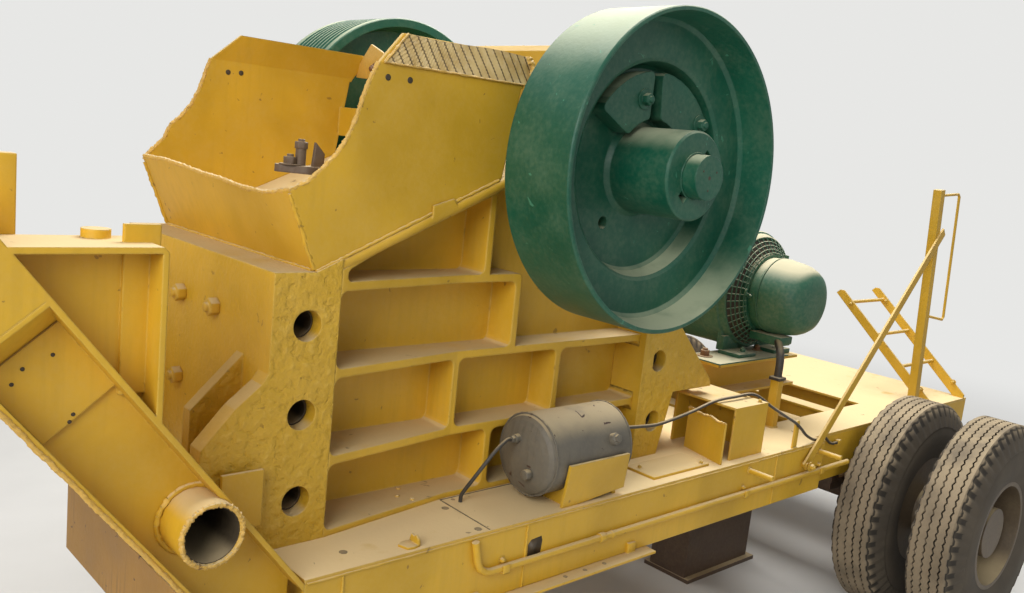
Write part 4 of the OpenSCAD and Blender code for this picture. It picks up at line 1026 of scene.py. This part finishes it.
# Air tank
# A rolled and welded pressure tank with dished ends on a bent plate bracket,
# painted grey long ago, now dusty and flaked down to brown rust.
grey = weathered("tank_grey", srgb(100, 94, 82), srgb(132, 124, 108),
                 dust=0.7, chips=1.3, grime=0.5, under=srgb(70, 48, 38))
coat_nodes(grey, "air_tank")
coat_nodes(yellow, "tank_bracket")
tank = limits_of("air_tank")
tank_radius = (tank.far - tank.near) / 2
tank_y, tank_z = tank.near + tank_radius, tank.base + tank_radius
seam_radius = tank_radius + 0.4
work = bmesh.new()
for x in (-230, 132):
    ring = [at(x, tank_y + seam_radius * math.cos(step * math.tau / 36),
               tank_z + seam_radius * math.sin(step * math.tau / 36))
            for step in range(37)]
    add_beads(work, ring, 0.0034, 0.35)
made("tank_welds", work, grey, slot="tank_grey")
work = bmesh.new()
add_rod(work, at(41, -664, 1118), at(41, -712, 1140), 0.021, 24, edge=0.004)
add_rod(work, at(41, -708, 1138), at(41, -722, 1144), 0.015, 6, edge=0.002)
add_rod(work, at(-262, -613, 1032), at(-286, -613, 1032), 0.017, 24,
        edge=0.003)
add_rod(work, at(-279, -544, 1133), at(-293, -544, 1133), 0.012, 6)
add_rod(work, at(181, -568, 1111), at(196, -568, 1111), 0.012, 6)
made("tank_bosses", work, grey, slot="tank_grey")

# Cover box
# A bent sheet box on the deck, its door plate torn off and standing askew,
# with ragged bright edges where the sheet has parted.
coat_nodes(yellow, "cover_box")
work = bmesh.new()
box_top = limits_of("cover_box").top
fold_x, fold_near, fold_far = 826, -655, -365
torn = [at(799 - 60 * share, -450 - 224 * share,
           1088 + 5 * math.sin(share * 13)) for share in
        (0, 0.12, 0.3, 0.46, 0.6, 0.8, 1)]
add_beads(work, torn, 0.0045, 0.8, 0.006)
add_beads(work, [at(fold_x, fold_near, deck.top + 2),
                 at(fold_x, fold_near, box_top - 5)], 0.003, 0.5)
add_beads(work, [at(fold_x, fold_near, box_top - 4),
                 at(fold_x, fold_far, box_top - 4)], 0.003, 0.5)
made("torn_edges", work, bare)
work = bmesh.new()
for x, y in ((1020, -640), (1030, -560), (860, -380)):
    add_bolt(work, at(x, y, box_top), (0, 0, 1), 0.014)
made("box_screws", work, yellow)

# Air hoses and motor lead
# Thin rubber air hoses from the tank's fittings, clipped to the deck, and the
# motor's thick lead from the square post up to its box, under dust.
rubber = weathered("hose_rubber", srgb(52, 48, 44), srgb(84, 78, 70),
                   dust=0.6, chips=0.0)
routes = (
    (6.5, [(-279.3, -544, 1133), (-295, -544, 1133), (-311, -544, 1133),
           (-348, -541, 1106), (-380, -530, 1062), (-410, -510, 1005),
           (-428, -484, 950), (-429, -480, 932), (-429, -480, 920.5)]),
    (6.5, [(181.3, -568, 1111), (200, -568, 1111), (220, -568, 1111),
           (340, -574, 1102), (450, -576, 1099), (632, -576, 1121),
           (795, -572, 1147), (931, -576, 1152), (1070, -580, 1147),
           (1150, -625, 1095), (1212, -692, 1048), (1238, -704, 1030),
           (1276, -704, 1006), (1340, -698, 966), (1430, -690, 932),
           (1500, -688, 929), (1530, -686, 928), (1575, -676, 906),
           (1625, -664, 882), (1666, -660, 870), (1683, -660, 870),
           (1699.7, -660, 870)]),
    (18.0, [(1450, -454, 1148), (1450, -454, 1180), (1452, -453, 1212),
            (1462, -444, 1250), (1486, -420, 1282), (1522, -385, 1304)]))


def smooth_route(stops, count=8):
    """Points on the smooth curve that passes through the stops."""
    whole = []
    padded = [stops[0]] + stops + [stops[-1]]
    for a, b, c, d in zip(padded, padded[1:], padded[2:], padded[3:]):
        for step in range(count):
            t = step / count
            whole.append(((b * 2) + (c - a) * t
                          + (a * 2 - b * 5 + c * 4 - d) * t ** 2
                          + (b * 3 - a - c * 3 + d) * t ** 3) / 2)
    return whole + [stops[-1]]


def add_hose(work, route, radius, sides=14):
    """A round hose swept along the points of a route."""
    ring = bmesh.ops.create_circle(work, segments=sides, radius=radius)
    verts = ring["verts"]
    settle(work, verts, along(route[0], route[1]), route[0])
    edges = ordered(rim for vert in verts for rim in vert.link_edges)
    bmesh.ops.edgeloop_fill(work, edges=edges)
    heading = (route[1] - route[0]).normalized()
    for index in range(1, len(route)):
        grown = bmesh.ops.extrude_edge_only(work, edges=edges)["geom"]
        verts = [v for v in grown if isinstance(v, bmesh.types.BMVert)]
        fresh = set(verts)
        edges = [e for e in grown if isinstance(e, bmesh.types.BMEdge)
                 and e.verts[0] in fresh and e.verts[1] in fresh]
        after = route[min(index + 1, len(route) - 1)] - route[index - 1]
        bend = heading.rotation_difference(after.normalized()).to_matrix()
        heading = after.normalized()
        bmesh.ops.translate(work, vec=route[index] - route[index - 1],
                            verts=verts)
        bmesh.ops.rotate(work, cent=route[index], matrix=bend, verts=verts)
    bmesh.ops.edgeloop_fill(work, edges=edges)
    bmesh.ops.recalc_face_normals(work, faces=work.faces)


work = bmesh.new()
for radius, stops in routes:
    add_hose(work, smooth_route([at(*stop) for stop in stops]),
             radius / 1000)
add_block(work, at(post_front - 7, post_near - 7, 1142),
          at(post_back + 7, post_far + 7, 1158), 0.004)
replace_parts(made("air_lines", work, rubber, slot="hose_rubber", crease=60),
            "hoses")

# Ladder and post
# Flat bar stringers with welded rungs at the rear, and a raking square post
# with its brace and grab rail, welded and bolted to the deck.
coat_nodes(yellow, "ladder", "post")
ladder = limits_of("ladder")
work = bmesh.new()
for x, y in ((2535, -604), (2510, -650), (2560, -650)):
    add_bead(work, at(x - 24, y, deck.top + 2), at(x + 24, y, deck.top + 2),
             0.005)
add_bolt(work, at(1347, -736, 835), (0, -1, 0), 0.024)
for x in (ladder.front, ladder.back - 10):
    for share in (0.1, 0.9):
        add_bolt(work, at(x, -640 + 590 * share, 950 + 480 * share),
                 (-1, 0, 0), 0.016)
made("ladder_welds", work, yellow)
